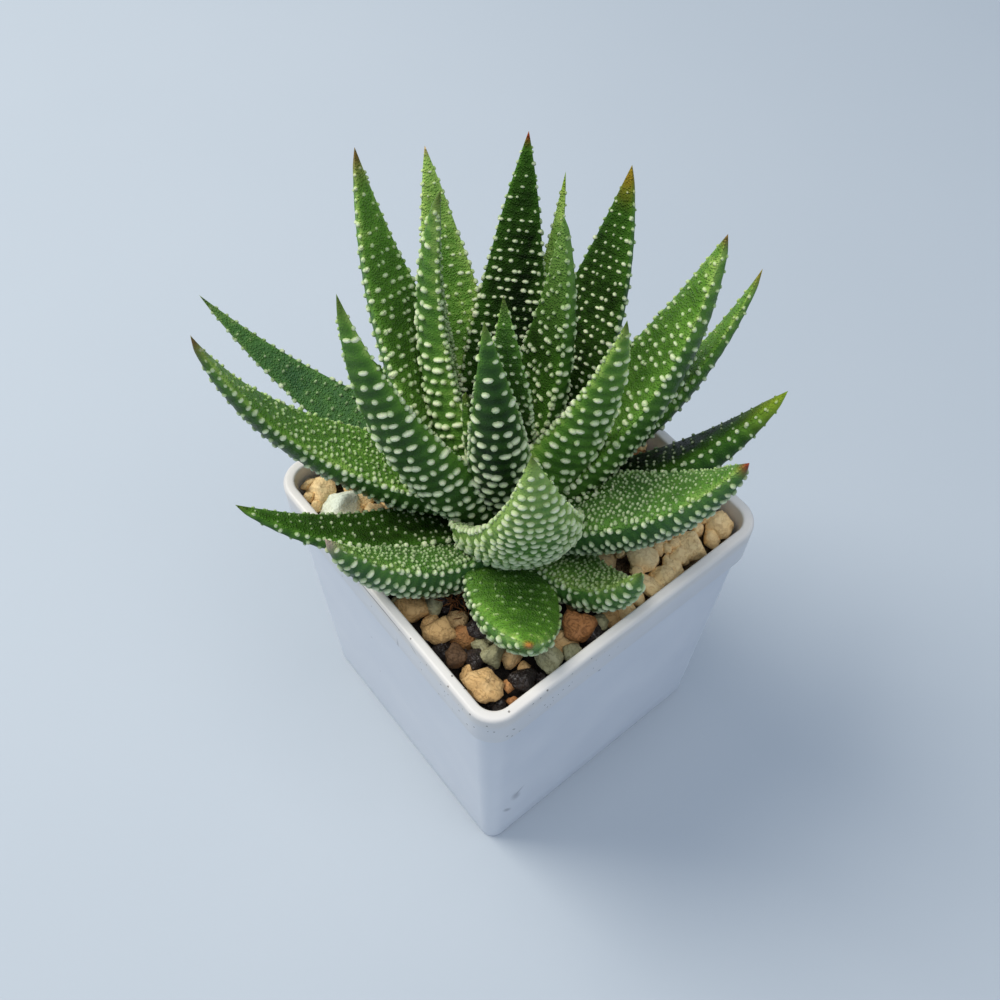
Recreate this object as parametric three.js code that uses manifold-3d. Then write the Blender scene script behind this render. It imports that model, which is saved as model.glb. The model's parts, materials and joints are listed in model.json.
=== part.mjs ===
// Potted haworthia: a rosette of thick, tapering, white-banded leaves on a short
// stem, in a square white plastic pot that is filled with soil and mixed gravel.
// Millimetres and degrees, +Z up. The origin is the centre of the pot's flat
// underside, and the pot's four walls face +X, -X, +Y and -Y.

import * as THREE from 'three';
import { mergeVertices } from 'three/addons/utils/BufferGeometryUtils.js';
import Module from 'manifold-3d';

const wasm = await Module();
wasm.setup();

// Driving dimensions of the pot
const RIM_SIDE = 70;
const POT_HEIGHT = 81;
const COLLAR_HEIGHT = 10;
const BODY_TOP_SIDE = 67.6;
const BASE_SIDE = 64.8;
const RIM_WIDTH = 2.3;
const WALL = 1.6;
const FLOOR = 2.0;
const CORNER_RADIUS = 6;
const EDGE_ROUND = 0.7;
const RIM_ROUND = 0.5;
const DRAIN_RADIUS = 2.0;
const DRAIN_SPREAD = 19;

// Driving dimensions of the filling
const GAP = 0.3;
const CUT_GAP = GAP + 0.1;
const SOIL_TOP = 69;
const BED_TOP = 71.5;
const STONE_LEVEL = 75;
const STONE_DIP = 3.6;
const DIP_RADIUS = 19;
const PEBBLE_RADIUS = 3.9;
const PEBBLE_GRID = 8;
const PEBBLE_SEED = 7;

// Driving dimensions of the plant
const STEM_X = -3;
const STEM_Y = -4;
const STEM_RADIUS = 3.2;
const STEM_FOOT = 52;
const STEM_TOP = 90;
const ROWS = 14;
const AROUND = 12;
const BUMP = 0.45;
const OUTER_SHARE = 0.6;
const FULLNESS = 0.85;
const PUFF = 0.1;
const OUTER_LEAST = 0.5;
const INNER_DEPTH = 0.55;
const CUP_AT_FOOT = 0.36;
const CUP_AT_TIP = 0.06;
const FOOT_POINT = 1.2;
const TAPER = 1.8;

const DEG = Math.PI / 180;

// Materials, with colours from the photographed object
const PLASTIC = new THREE.MeshStandardMaterial({ color: '#e6e3e2', roughness: 0.42, metalness: 0 });
const SOIL = new THREE.MeshStandardMaterial({ color: '#35281d', roughness: 0.95, metalness: 0 });
const STEM = new THREE.MeshStandardMaterial({ color: '#6b5a34', roughness: 0.85, metalness: 0 });
const LEAF = new THREE.MeshStandardMaterial({ color: '#3d6f2c', roughness: 0.45, metalness: 0 });
const TAN = new THREE.MeshStandardMaterial({ color: '#cfa877', roughness: 0.8, metalness: 0 });
const MINT = new THREE.MeshStandardMaterial({ color: '#a9bfa2', roughness: 0.75, metalness: 0 });
const RUST = new THREE.MeshStandardMaterial({ color: '#b5763c', roughness: 0.8, metalness: 0 });
const BARK = new THREE.MeshStandardMaterial({ color: '#2e221b', roughness: 0.95, metalness: 0 });

const object = new THREE.Group();

function addMesh(name, geometry, material) {
  const mesh = new THREE.Mesh(geometry, material);
  mesh.name = name;
  object.add(mesh);
}

// Closed geometry from rings of equal length: ring to ring in quads, and each
// end closed by a fan to its middle point. The quads' diagonals alternate, so
// that a raised point stands as a four-sided pyramid between low neighbours.
function ringsToGeometry(rings, firstPole, lastPole) {
  const count = rings[0].length;
  const points = rings.flat();
  const first = points.length;
  const last = first + 1;
  points.push(firstPole, lastPole);
  const index = [];
  for (let i = 0; i < rings.length - 1; i += 1) {
    for (let j = 0; j < count; j += 1) {
      const a = i * count + j;
      const b = i * count + ((j + 1) % count);
      const c = a + count;
      const d = b + count;
      if ((i + j) % 2 === 0) index.push(a, b, c, b, d, c);
      else index.push(a, b, d, a, d, c);
    }
  }
  const top = (rings.length - 1) * count;
  for (let j = 0; j < count; j += 1) {
    const k = (j + 1) % count;
    index.push(first, k, j);
    index.push(last, top + j, top + k);
  }
  const geometry = new THREE.BufferGeometry();
  const numbers = points.flatMap((p) => [p.x, p.y, p.z]);
  geometry.setAttribute('position', new THREE.Float32BufferAttribute(numbers, 3));
  geometry.setIndex(index);
  return geometry;
}

// Joining and cutting of closed solids
function toSolid(geometry) {
  const plain = geometry.clone();
  plain.deleteAttribute('normal');
  plain.deleteAttribute('uv');
  const merged = mergeVertices(plain, 1e-5);
  return new wasm.Manifold(new wasm.Mesh({
    numProp: 3,
    vertProperties: new Float32Array(merged.attributes.position.array),
    triVerts: new Uint32Array(merged.index.array),
  }));
}

function toGeometry(solid) {
  const mesh = solid.getMesh();
  const geometry = new THREE.BufferGeometry();
  geometry.setAttribute('position', new THREE.BufferAttribute(mesh.vertProperties, 3));
  geometry.setIndex(new THREE.BufferAttribute(mesh.triVerts, 1));
  return geometry;
}

// The largest piece of a cut solid: the scraps that a neighbour cuts off are dropped
function largestPiece(solid) {
  const pieces = solid.decompose();
  return pieces.reduce((best, piece) => (piece.volume() > best.volume() ? piece : best));
}

// Repeatable random numbers between 0 and 1
function seededRandom(seed) {
  let state = seed;
  return () => {
    state = (state * 1664525 + 1013904223) % 4294967296;
    return state / 4294967296;
  };
}

// The pot: rounded squares stacked from the underside up the outer wall, over
// the rim and down the inner wall to the floor.
function roundedSquare(side, radius, z, steps = 4) {
  const ring = [];
  const centre = side / 2 - radius;
  for (let corner = 0; corner < 4; corner += 1) {
    const start = corner * 90;
    const cx = centre * Math.sign(Math.cos((start + 45) * DEG));
    const cy = centre * Math.sign(Math.sin((start + 45) * DEG));
    for (let step = 0; step <= steps; step += 1) {
      const angle = (start + (90 * step) / steps) * DEG;
      ring.push(new THREE.Vector3(cx + radius * Math.cos(angle), cy + radius * Math.sin(angle), z));
    }
  }
  return ring;
}

function buildPot() {
  const collarFoot = POT_HEIGHT - COLLAR_HEIGHT;
  const innerTop = RIM_SIDE - 2 * RIM_WIDTH;
  const innerFoot = BASE_SIDE - 2 * WALL;
  const rimFoot = POT_HEIGHT - EDGE_ROUND;
  const innerRadius = CORNER_RADIUS - RIM_WIDTH;
  const rings = [
    roundedSquare(BASE_SIDE - 2 * EDGE_ROUND, CORNER_RADIUS - EDGE_ROUND, 0),
    roundedSquare(BASE_SIDE, CORNER_RADIUS, EDGE_ROUND),
    roundedSquare(BODY_TOP_SIDE, CORNER_RADIUS, collarFoot - EDGE_ROUND),
    roundedSquare(RIM_SIDE, CORNER_RADIUS, collarFoot),
    roundedSquare(RIM_SIDE, CORNER_RADIUS, rimFoot),
    roundedSquare(RIM_SIDE - 2 * RIM_ROUND, CORNER_RADIUS - RIM_ROUND, POT_HEIGHT),
    roundedSquare(innerTop + 2 * RIM_ROUND, innerRadius + RIM_ROUND, POT_HEIGHT),
    roundedSquare(innerTop, innerRadius, rimFoot),
    roundedSquare(innerFoot, CORNER_RADIUS - WALL, FLOOR),
  ];
  const under = new THREE.Vector3(0, 0, 0);
  const floor = new THREE.Vector3(0, 0, FLOOR);
  let solid = toSolid(ringsToGeometry(rings, under, floor));
  for (const x of [-DRAIN_SPREAD, DRAIN_SPREAD]) {
    for (const y of [-DRAIN_SPREAD, DRAIN_SPREAD]) {
      const drill = new THREE.CylinderGeometry(DRAIN_RADIUS, DRAIN_RADIUS, FLOOR + 2, 10);
      drill.rotateX(Math.PI / 2);
      drill.translate(x, y, FLOOR / 2);
      solid = solid.subtract(toSolid(drill));
    }
  }
  addMesh('pot', toGeometry(solid), PLASTIC);
}

// Leaves. `at` is the direction from the stem in which a leaf grows out, `turn`
// and `rise` are the direction and the slope of the straight line from its foot
// to its tip, and `length` is that line's. `width` is across the leaf at its
// widest. `bow` is how far its middle hangs out below the line, `seat` the height
// of its foot and `out` the foot's distance from the stem's axis. `sway` is how far
// the middle swings sideways, where it does, and a larger `taper` than TAPER keeps
// a leaf wide for longer. `roll` turns a leaf about its own line, `deep` is how
// full its outer face is and `puff` how far its inner face swells, as shares of
// half its width. The leaves nearest the stem's tip come first.
const LEAVES = [
  { name: 'leaf_14', at: -17, turn: -165, rise: 85, length: 47, width: 12, bow: 2.5, sway: -0.5,
    seat: 88, out: 5.5, roll: -20 },
  { name: 'leaf_15', at: 125, turn: 56, rise: 89, length: 46, width: 13, bow: -3.5, sway: -2,
    seat: 88, out: 3.5, taper: 1.6, roll: 17, puff: -0.05 },
  { name: 'leaf_27', at: 215, turn: 215, rise: 80, length: 24, width: 7, bow: 0.5, seat: 89, out: 0.5 },
  { name: 'leaf_06', at: 94, turn: 111, rise: 73, length: 53.5, width: 15, bow: 3.5,
    seat: 87, out: 5, taper: 1.6, roll: -12, deep: 0.75, puff: 0.15 },
  { name: 'leaf_03', at: 190, turn: 158, rise: 73, length: 57.5, width: 15.5, bow: 7.5, sway: -2.5,
    seat: 86.5, out: 4.5, taper: 1.9, roll: 46 },
  { name: 'leaf_13', at: -1, turn: 65, rise: 71, length: 51.5, width: 18, bow: 1, sway: 5,
    seat: 85.5, out: 7.5, taper: 1.2, roll: -22, deep: 0.4 },
  { name: 'leaf_16', at: -61, turn: -148, rise: 66, length: 55.5, width: 16.5, bow: 3.5, sway: -2,
    seat: 86, out: 7, taper: 1.3, roll: 16, deep: 0.4 },
  { name: 'leaf_04', at: 135, turn: 132, rise: 54, length: 62, width: 17.5, bow: 4, seat: 86, out: 5 },
  { name: 'leaf_07', at: 88, turn: 109, rise: 51, length: 61, width: 20.5, bow: 5, sway: -0.3,
    seat: 86, out: 5 },
  { name: 'leaf_01', at: 186, turn: 174, rise: 54, length: 63, width: 19.5, bow: 5.5, sway: 0.5,
    seat: 86.5, out: 5, taper: 1.35, roll: 6, deep: 0.65 },
  { name: 'leaf_08', at: 52, turn: 79, rise: 55, length: 62.5, width: 19.5, bow: 5.5, sway: 1.5,
    seat: 83.5, out: 7, taper: 2, roll: 6, deep: 0.8, puff: 0.15 },
  { name: 'leaf_21', at: -12, turn: -29, rise: 72, length: 45.5, width: 27, bow: 6, sway: -0.5,
    seat: 81.5, out: 8, taper: 1.3, roll: -17, deep: 0.45, puff: 0.05 },
  { name: 'leaf_18', at: -135, turn: -124, rise: 49, length: 63.5, width: 19.5, bow: 12, sway: -2,
    seat: 83.5, out: 5.5, taper: 1.1, roll: 20, deep: 0.65, puff: 0.2 },
  { name: 'leaf_02', at: 155, turn: 158, rise: 52, length: 61, width: 16, bow: 4, seat: 85, out: 5 },
  { name: 'leaf_05', at: 120, turn: 123, rise: 50, length: 57, width: 8.8, bow: 4, sway: -0.6,
    seat: 85, out: 5, taper: 1.4 },
  { name: 'leaf_17', at: -164, turn: -152, rise: 27, length: 60.5, width: 15.5, bow: 7.5,
    seat: 84.5, out: 6, taper: 1.1, roll: -15, puff: 0.05 },
  { name: 'leaf_09', at: 60, turn: 78, rise: 38, length: 61.5, width: 14.5, bow: 8, sway: -0.5,
    seat: 83.5, out: 5, taper: 1.4, roll: -16, deep: 0.7 },
  { name: 'leaf_11', at: 35, turn: 30, rise: 41, length: 52, width: 19.5, bow: 6.5,
    seat: 81.5, out: 5.5, taper: 2.2, roll: -14, deep: 0.8, puff: 0.3 },
  { name: 'leaf_10', at: 40, turn: 60, rise: 28, length: 56, width: 17.5, bow: 4.8, sway: -1,
    seat: 80.5, out: 5, taper: 2.4, roll: -29, deep: 0.8, puff: 0.2 },
  { name: 'leaf_20', at: -27, turn: -102, rise: 36, length: 41, width: 17, bow: 6, sway: -3.5,
    seat: 79, out: 8, taper: 1.9, roll: -8, deep: 0.75, puff: 0.3 },
  { name: 'leaf_22', at: -41, turn: -27, rise: 19, length: 34.6, width: 18.5, bow: 6.5, sway: 1,
    seat: 81.5, out: 5.5, taper: 3.9, roll: -14, deep: 0.5, puff: 0.3 },
  { name: 'leaf_12', at: 6, turn: 6, rise: 32, length: 36, width: 14.5, bow: 10, sway: 0.5,
    seat: 78.5, out: 6, taper: 2.3, roll: -23, deep: 0.7, puff: 0.3 },
  { name: 'leaf_19', at: -91, turn: -117, rise: 23, length: 46, width: 12.5, bow: 3.5, sway: 2,
    seat: 79, out: 5.5, taper: 2, roll: 7, deep: 0.7 },
  { name: 'leaf_23', at: 105, turn: 102, rise: 18, length: 35, width: 14, bow: 5, seat: 81, out: 5 },
  { name: 'leaf_24', at: 150, turn: 148, rise: 20, length: 46, width: 15, bow: 6, seat: 81, out: 5 },
  { name: 'leaf_25', at: 190, turn: 186, rise: 24, length: 34, width: 14, bow: 5, seat: 82, out: 5 },
  { name: 'leaf_26', at: 78, turn: 84, rise: 15, length: 38, width: 14, bow: 5, seat: 81, out: 5 },
];

// A leaf's outline: full near the foot and straight-sided towards a sharp tip
function widthShare(leaf, t) {
  const body = (1 - t ** (leaf.taper ?? TAPER)) ** 0.95;
  const foot = 0.8 + 0.2 * Math.min(1, t / 0.15);
  return body * foot;
}

// The middle line of a leaf with its three directions at t, from foot 0 to tip 1:
// `along` it, `across` it and `inner`, out of the face that looks at the stem.
function leafFrame(leaf, t) {
  const at = leaf.at * DEG;
  const turn = leaf.turn * DEG;
  const rise = leaf.rise * DEG;
  const foot = new THREE.Vector3(
    STEM_X + leaf.out * Math.cos(at),
    STEM_Y + leaf.out * Math.sin(at),
    leaf.seat,
  );
  const chord = new THREE.Vector3(
    Math.cos(rise) * Math.cos(turn),
    Math.cos(rise) * Math.sin(turn),
    Math.sin(rise),
  );
  const facing = new THREE.Vector3(
    -Math.sin(rise) * Math.cos(at),
    -Math.sin(rise) * Math.sin(at),
    Math.cos(rise),
  );
  const inner = facing.addScaledVector(chord, -facing.dot(chord)).normalize();
  const side = new THREE.Vector3().crossVectors(inner, chord);
  const sway = leaf.sway ?? 0;
  const swell = 4 * t * (1 - t);
  const slope = (4 * (1 - 2 * t)) / leaf.length;
  const point = foot.clone()
    .addScaledVector(chord, leaf.length * t)
    .addScaledVector(inner, -leaf.bow * swell)
    .addScaledVector(side, sway * swell);
  const along = chord.clone()
    .addScaledVector(inner, -leaf.bow * slope)
    .addScaledVector(side, sway * slope)
    .normalize();
  const level = new THREE.Vector3().crossVectors(inner, along).normalize();
  const roll = (leaf.roll ?? 0) * DEG;
  const across = level.clone().applyAxisAngle(along, roll);
  const normal = new THREE.Vector3().crossVectors(along, across);
  return { point, along, across, inner: normal };
}

// Section of a leaf: a flat or slightly swollen inner face and a full outer face,
// cupped round the stem near the foot. `j` counts round it from one margin.
// Every second point of every row stands out as one of the white bumps.
function leafRing(leaf, row, grow) {
  const t = row / ROWS;
  const frame = leafFrame(leaf, t);
  const half = (leaf.width / 2) * widthShare(leaf, t) + grow;
  const outerDepth = half * (leaf.deep ?? OUTER_SHARE) + OUTER_LEAST;
  const swollen = half * (leaf.puff ?? PUFF) * Math.min(1, t / 0.35);
  const innerDepth = Math.min(INNER_DEPTH, half * 0.3) + swollen + grow;
  const cup = (CUP_AT_FOOT - CUP_AT_TIP) * (1 - t) ** 2 + CUP_AT_TIP;
  const ring = [];
  for (let j = 0; j < AROUND; j += 1) {
    const angle = (360 * j * DEG) / AROUND;
    const power = Math.sin(angle) > 0 ? 1 : FULLNESS;
    const s = Math.sign(Math.cos(angle)) * Math.abs(Math.cos(angle)) ** power;
    const c = Math.sign(Math.sin(angle)) * Math.abs(Math.sin(angle)) ** power;
    const raised = (row + j) % 2 === 0 && row > 1 && row < ROWS - 1;
    const bump = raised ? BUMP : 0;
    const x = s * (half + bump * Math.abs(s));
    const depth = c > 0 ? innerDepth + bump * 0.7 : outerDepth + bump;
    const z = c * depth + cup * half * s * s;
    ring.push(frame.point.clone().addScaledVector(frame.across, x).addScaledVector(frame.inner, z));
  }
  return ring;
}

function leafGeometry(leaf, grow = 0) {
  const rings = [];
  for (let row = 0; row < ROWS; row += 1) rings.push(leafRing(leaf, row, grow));
  const foot = leafFrame(leaf, 0);
  const tip = leafFrame(leaf, 1);
  const footPole = foot.point.clone().addScaledVector(foot.along, -FOOT_POINT - grow);
  const tipPole = tip.point.clone().addScaledVector(tip.along, grow);
  return ringsToGeometry(rings, footPole, tipPole);
}

// Every leaf is cut by those nearer the stem, which keeps them apart where they
// clasp one another. Returns the space that stem and leaves take up.
function buildLeaves(stemSpace) {
  let space = stemSpace;
  for (const leaf of LEAVES) {
    const whole = toSolid(leafGeometry(leaf));
    addMesh(leaf.name, toGeometry(largestPiece(whole.subtract(space))), LEAF);
    space = space.add(toSolid(leafGeometry(leaf, CUT_GAP)));
  }
  return space;
}

// The stem: a short stock, buried in the soil, with a blunt crown
function stemGeometry(grow = 0) {
  const radius = STEM_RADIUS + grow;
  const profile = [
    new THREE.Vector2(0, STEM_FOOT - grow),
    new THREE.Vector2(radius * 0.6, STEM_FOOT - grow),
    new THREE.Vector2(radius, STEM_FOOT + 5),
    new THREE.Vector2(radius, STEM_TOP - 4),
    new THREE.Vector2(radius * 0.55, STEM_TOP + grow),
    new THREE.Vector2(0, STEM_TOP + grow),
  ];
  const geometry = new THREE.LatheGeometry(profile, 12);
  geometry.rotateX(Math.PI / 2);
  geometry.translate(STEM_X, STEM_Y, 0);
  return geometry;
}

// The filling follows the pot's inner wall, a gap away from it
function fillingRing(z) {
  const innerTop = RIM_SIDE - 2 * RIM_WIDTH;
  const innerFoot = BASE_SIDE - 2 * WALL;
  const share = (z - FLOOR) / (POT_HEIGHT - EDGE_ROUND - FLOOR);
  const side = innerFoot + (innerTop - innerFoot) * share - 2 * GAP;
  return roundedSquare(side, CORNER_RADIUS - WALL - GAP, z, 3);
}

function fillingBlock(bottom, top) {
  const low = new THREE.Vector3(0, 0, bottom);
  const high = new THREE.Vector3(0, 0, top);
  return toSolid(ringsToGeometry([fillingRing(bottom), fillingRing(top)], low, high));
}

// A stone: a twenty-sided lump, squashed a little and with every corner moved
function stoneSolid(x, y, z, radius, random, grow = 0) {
  const geometry = new THREE.IcosahedronGeometry(1, 0);
  geometry.deleteAttribute('normal');
  geometry.deleteAttribute('uv');
  const lump = mergeVertices(geometry, 1e-5);
  const place = lump.attributes.position;
  const squash = new THREE.Vector3(0.85 + 0.3 * random(), 0.85 + 0.3 * random(), 0.8);
  const spin = random() * 360 * DEG;
  for (let i = 0; i < place.count; i += 1) {
    const corner = new THREE.Vector3().fromBufferAttribute(place, i);
    const reach = radius * (0.88 + 0.24 * random()) + grow;
    corner.multiply(squash).multiplyScalar(reach).applyAxisAngle(new THREE.Vector3(0, 0, 1), spin);
    place.setXYZ(i, x + corner.x, y + corner.y, z + corner.z);
  }
  return toSolid(lump);
}

// The stones that show best in front of and beside the plant, by their places in
// the pot, their height, their radius and their kind of rock
const STONES = [
  { name: 'stone_01', x: 25.8, y: -28.4, z: 75.9, radius: 4.3, material: TAN },
  { name: 'stone_02', x: 11.9, y: -28.6, z: 75.6, radius: 3.6, material: TAN },
  { name: 'stone_03', x: 4.0, y: -29.4, z: 75.2, radius: 3.1, material: TAN },
  { name: 'stone_04', x: 16.9, y: -28.8, z: 74.4, radius: 2.6, material: RUST },
  { name: 'stone_05', x: 21.5, y: -22.8, z: 75.2, radius: 2.8, material: MINT },
  { name: 'stone_06', x: 28.6, y: -15.6, z: 75.2, radius: 3.2, material: MINT },
  { name: 'stone_07', x: 28.6, y: -21.4, z: 75.0, radius: 2.8, material: BARK },
  { name: 'stone_08', x: 27.2, y: -7.8, z: 76.0, radius: 3.4, material: RUST },
  { name: 'stone_09', x: 28.8, y: -3.4, z: 75.2, radius: 2.5, material: MINT },
  { name: 'stone_10', x: 15.4, y: -22.6, z: 75.2, radius: 2.9, material: BARK },
  { name: 'stone_11', x: 24.3, y: 11.5, z: 76.4, radius: 3.8, material: TAN },
  { name: 'stone_12', x: 29.4, y: 9.6, z: 76.0, radius: 3.0, material: TAN },
  { name: 'stone_13', x: 23.9, y: 16.4, z: 76.1, radius: 2.6, material: TAN },
  { name: 'stone_14', x: 28.8, y: 15.5, z: 75.6, radius: 2.8, material: TAN },
  { name: 'stone_15', x: 27.9, y: 21.4, z: 76.5, radius: 3.9, material: TAN },
  { name: 'stone_16', x: 28.4, y: 30.4, z: 77.0, radius: 3.6, material: TAN },
  { name: 'stone_17', x: -28.4, y: -27.8, z: 76.3, radius: 3.7, material: TAN },
  { name: 'stone_18', x: -22.8, y: -26.9, z: 76.0, radius: 4.8, material: MINT },
  { name: 'stone_19', x: 6.2, y: 28.6, z: 74.9, radius: 3.2, material: RUST },
  { name: 'stone_20', x: 29.2, y: 26.4, z: 75.9, radius: 2.7, material: TAN },
  { name: 'stone_21', x: 29.6, y: -0.4, z: 75.0, radius: 2.9, material: TAN },
  { name: 'stone_22', x: 20.2, y: -26.2, z: 74.8, radius: 2.5, material: BARK },
  { name: 'stone_23', x: 6.4, y: -25.6, z: 74.9, radius: 2.1, material: MINT },
  { name: 'stone_24', x: 29.9, y: -11.4, z: 74.4, radius: 2.4, material: MINT },
];

// The gravel: a bed with half-sunk pebbles on a jittered grid, left free where a
// named stone lies. It lies lower under the leaves, and what still touches them
// is cut clear.
function stoneLevel(x, y) {
  const away = Math.hypot(x - STEM_X, y - STEM_Y) / DIP_RADIUS;
  return STONE_LEVEL - STONE_DIP * Math.exp(-away * away);
}

function buildGravel(plantSpace) {
  const random = seededRandom(PEBBLE_SEED);
  const cavity = fillingBlock(SOIL_TOP + GAP, POT_HEIGHT);
  const steps = Math.floor(RIM_SIDE / PEBBLE_GRID / 2);
  let gravel = fillingBlock(SOIL_TOP + GAP, BED_TOP);
  for (let i = -steps; i <= steps; i += 1) {
    for (let j = -steps; j <= steps; j += 1) {
      const x = (i + 0.5 * (random() - 0.5)) * PEBBLE_GRID;
      const y = (j + 0.5 * (random() - 0.5)) * PEBBLE_GRID;
      const radius = PEBBLE_RADIUS * (0.8 + 0.4 * random());
      const pebble = stoneSolid(x, y, stoneLevel(x, y) - 0.6 * random(), radius, random);
      const free = STONES.every((s) => Math.hypot(s.x - x, s.y - y) > 0.8 * (s.radius + radius));
      if (free) gravel = gravel.add(pebble);
    }
  }
  let stoneSpace = plantSpace;
  STONES.forEach((stone, i) => {
    const place = [stone.x, stone.y, stone.z, stone.radius];
    const whole = stoneSolid(...place, seededRandom(100 + i));
    const cut = whole.intersect(cavity).subtract(stoneSpace);
    addMesh(stone.name, toGeometry(largestPiece(cut)), stone.material);
    stoneSpace = stoneSpace.add(stoneSolid(...place, seededRandom(100 + i), CUT_GAP));
  });
  gravel = gravel.intersect(cavity).subtract(stoneSpace);
  addMesh('gravel', toGeometry(largestPiece(gravel)), TAN);
}

function buildSoil(stemSpace) {
  const soil = fillingBlock(FLOOR + GAP, SOIL_TOP);
  addMesh('soil', toGeometry(soil.subtract(stemSpace)), SOIL);
}

const stemSpace = toSolid(stemGeometry(GAP));
buildPot();
buildSoil(stemSpace);
addMesh('stem', stemGeometry(), STEM);
const plantSpace = buildLeaves(stemSpace);
buildGravel(plantSpace);

export default object;
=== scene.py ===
# %% [markdown]
# # A potted haworthia
# A haworthia is a small succulent. Thick, tapering leaves grow in a rosette from
# a very short stem, and rows of white bumps, the tubercles, cover both faces of
# every leaf. This one stands in a square nursery pot with gravel on top of its
# soil.
#
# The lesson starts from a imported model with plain, faceted solids. It stays fixed:
# nearly every piece made here takes the place of one of its nodes and keeps its
# form, and only small loose things, such as pebbles and hairs, are added.
# The model is in metres, with +Z up and the origin under the middle of the pot.
# Meshes below are given in millimetres, and one helper turns them into metres.
# Materials, lights and the camera are given in metres.

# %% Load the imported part
import json

import bpy
import numpy as np
from mathutils import Matrix, Vector

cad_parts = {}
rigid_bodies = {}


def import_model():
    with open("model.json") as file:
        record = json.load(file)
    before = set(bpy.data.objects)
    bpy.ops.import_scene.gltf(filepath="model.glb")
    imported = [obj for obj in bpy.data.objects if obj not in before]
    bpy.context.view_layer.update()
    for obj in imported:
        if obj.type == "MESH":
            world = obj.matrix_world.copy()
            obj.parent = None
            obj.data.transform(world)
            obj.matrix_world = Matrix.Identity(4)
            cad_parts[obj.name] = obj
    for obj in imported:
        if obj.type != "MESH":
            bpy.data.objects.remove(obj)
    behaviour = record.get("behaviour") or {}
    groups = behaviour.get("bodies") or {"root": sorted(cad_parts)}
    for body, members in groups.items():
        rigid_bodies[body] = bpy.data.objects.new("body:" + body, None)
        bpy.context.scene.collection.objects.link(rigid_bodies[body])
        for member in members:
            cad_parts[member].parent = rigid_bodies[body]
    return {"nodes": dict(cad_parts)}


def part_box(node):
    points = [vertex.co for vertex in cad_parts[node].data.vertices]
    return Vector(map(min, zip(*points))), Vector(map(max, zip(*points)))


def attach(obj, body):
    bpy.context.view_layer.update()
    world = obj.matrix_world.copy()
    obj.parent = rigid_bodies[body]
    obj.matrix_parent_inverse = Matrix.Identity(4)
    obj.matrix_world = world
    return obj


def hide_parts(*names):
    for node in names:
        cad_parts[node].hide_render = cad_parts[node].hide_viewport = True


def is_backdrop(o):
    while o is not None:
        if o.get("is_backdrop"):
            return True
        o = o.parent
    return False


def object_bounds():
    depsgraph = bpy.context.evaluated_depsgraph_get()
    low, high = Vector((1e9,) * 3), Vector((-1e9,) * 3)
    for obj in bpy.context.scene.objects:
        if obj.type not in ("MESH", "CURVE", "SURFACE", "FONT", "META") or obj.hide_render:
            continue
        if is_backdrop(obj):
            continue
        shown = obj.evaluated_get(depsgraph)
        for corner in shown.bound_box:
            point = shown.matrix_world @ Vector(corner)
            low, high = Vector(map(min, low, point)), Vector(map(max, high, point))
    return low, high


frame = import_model()
packed_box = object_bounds()
print("nodes in the packed part:", len(frame["nodes"]))

# %% [markdown]
# ## From arrays to a mesh
# Every surface here is worked out as whole numpy arrays. One helper turns points
# and faces into a mesh: it fills the vertices, the corners and the faces with
# `foreach_set`, which is far quicker than adding them one by one. Values that
# differ from point to point, such as how white the skin is, go along as named
# attributes, which a material can read.

# %% Mesh helper
MM = 0.001


def mesh_piece(name, points, face_sets, material, values=None):
    """A smooth mesh from points in millimetres and arrays of quads or triangles."""
    mesh = bpy.data.meshes.new(name)
    corners = np.concatenate([faces.ravel() for faces in face_sets])
    sizes = np.concatenate([np.full(len(faces), faces.shape[1]) for faces in face_sets])
    starts = np.concatenate([[0], np.cumsum(sizes)[:-1]])
    mesh.vertices.add(len(points))
    mesh.vertices.foreach_set("co", (points * MM).ravel())
    mesh.loops.add(len(corners))
    mesh.loops.foreach_set("vertex_index", corners.astype(np.int32))
    mesh.polygons.add(len(sizes))
    mesh.polygons.foreach_set("loop_start", starts.astype(np.int32))
    mesh.polygons.foreach_set("use_smooth", np.ones(len(sizes), bool))
    mesh.update(calc_edges=True)
    for title, value in (values or {}).items():
        if value.ndim == 1:
            layer = mesh.attributes.new(title, "FLOAT", "POINT")
            layer.data.foreach_set("value", value.astype(np.float32))
        else:
            layer = mesh.attributes.new(title, "FLOAT_COLOR", "POINT")
            layer.data.foreach_set("color", value.astype(np.float32).ravel())
    mesh.validate()
    mesh.materials.append(material)
    piece = bpy.data.objects.new(name, mesh)
    bpy.context.scene.collection.objects.link(piece)
    return piece


def settle(piece, slot, *nodes):
    """The piece moves with the part's one body and stands for the named nodes."""
    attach(piece, "root")
    if nodes:
        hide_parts(*nodes)
    return piece


print("one model unit is a metre, so a millimetre is", MM)

# %% [markdown]
# ## Rings make a closed skin
# Leaf, stone and pot are all built from rings of points that lie one behind the
# other. Quads join each ring to the next, and a fan of triangles closes each end
# at one middle point, so that no surface has a hole in it.

# %% Faces between rings


def ring_faces(rings, around):
    """Quads between rings of equal length, then end fans to two last points."""
    row = np.arange(rings - 1)[:, None] * around
    here = np.arange(around)[None, :]
    after = (here + 1) % around
    quads = np.stack([row + here, row + after, row + around + after, row + around + here], -1)
    here, after = here[0], after[0]
    first, last = rings * around, rings * around + 1
    top = (rings - 1) * around
    start_fan = np.stack([after, here, np.full(around, first)], -1)
    end_fan = np.stack([top + here, top + after, np.full(around, last)], -1)
    return quads.reshape(-1, 4), np.concatenate([start_fan, end_fan])


def repeated_faces(faces, size, number, first=0):
    """The faces of many copies of one form, whose points lie copy after copy."""
    shift = first + size * np.arange(number)[:, None, None]
    return [(part + shift).reshape(-1, part.shape[1]) for part in faces]


def unit(vectors):
    """Vectors with their length made one."""
    return vectors / np.maximum(np.linalg.norm(vectors, axis=-1, keepdims=True), 1e-12)


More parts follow.
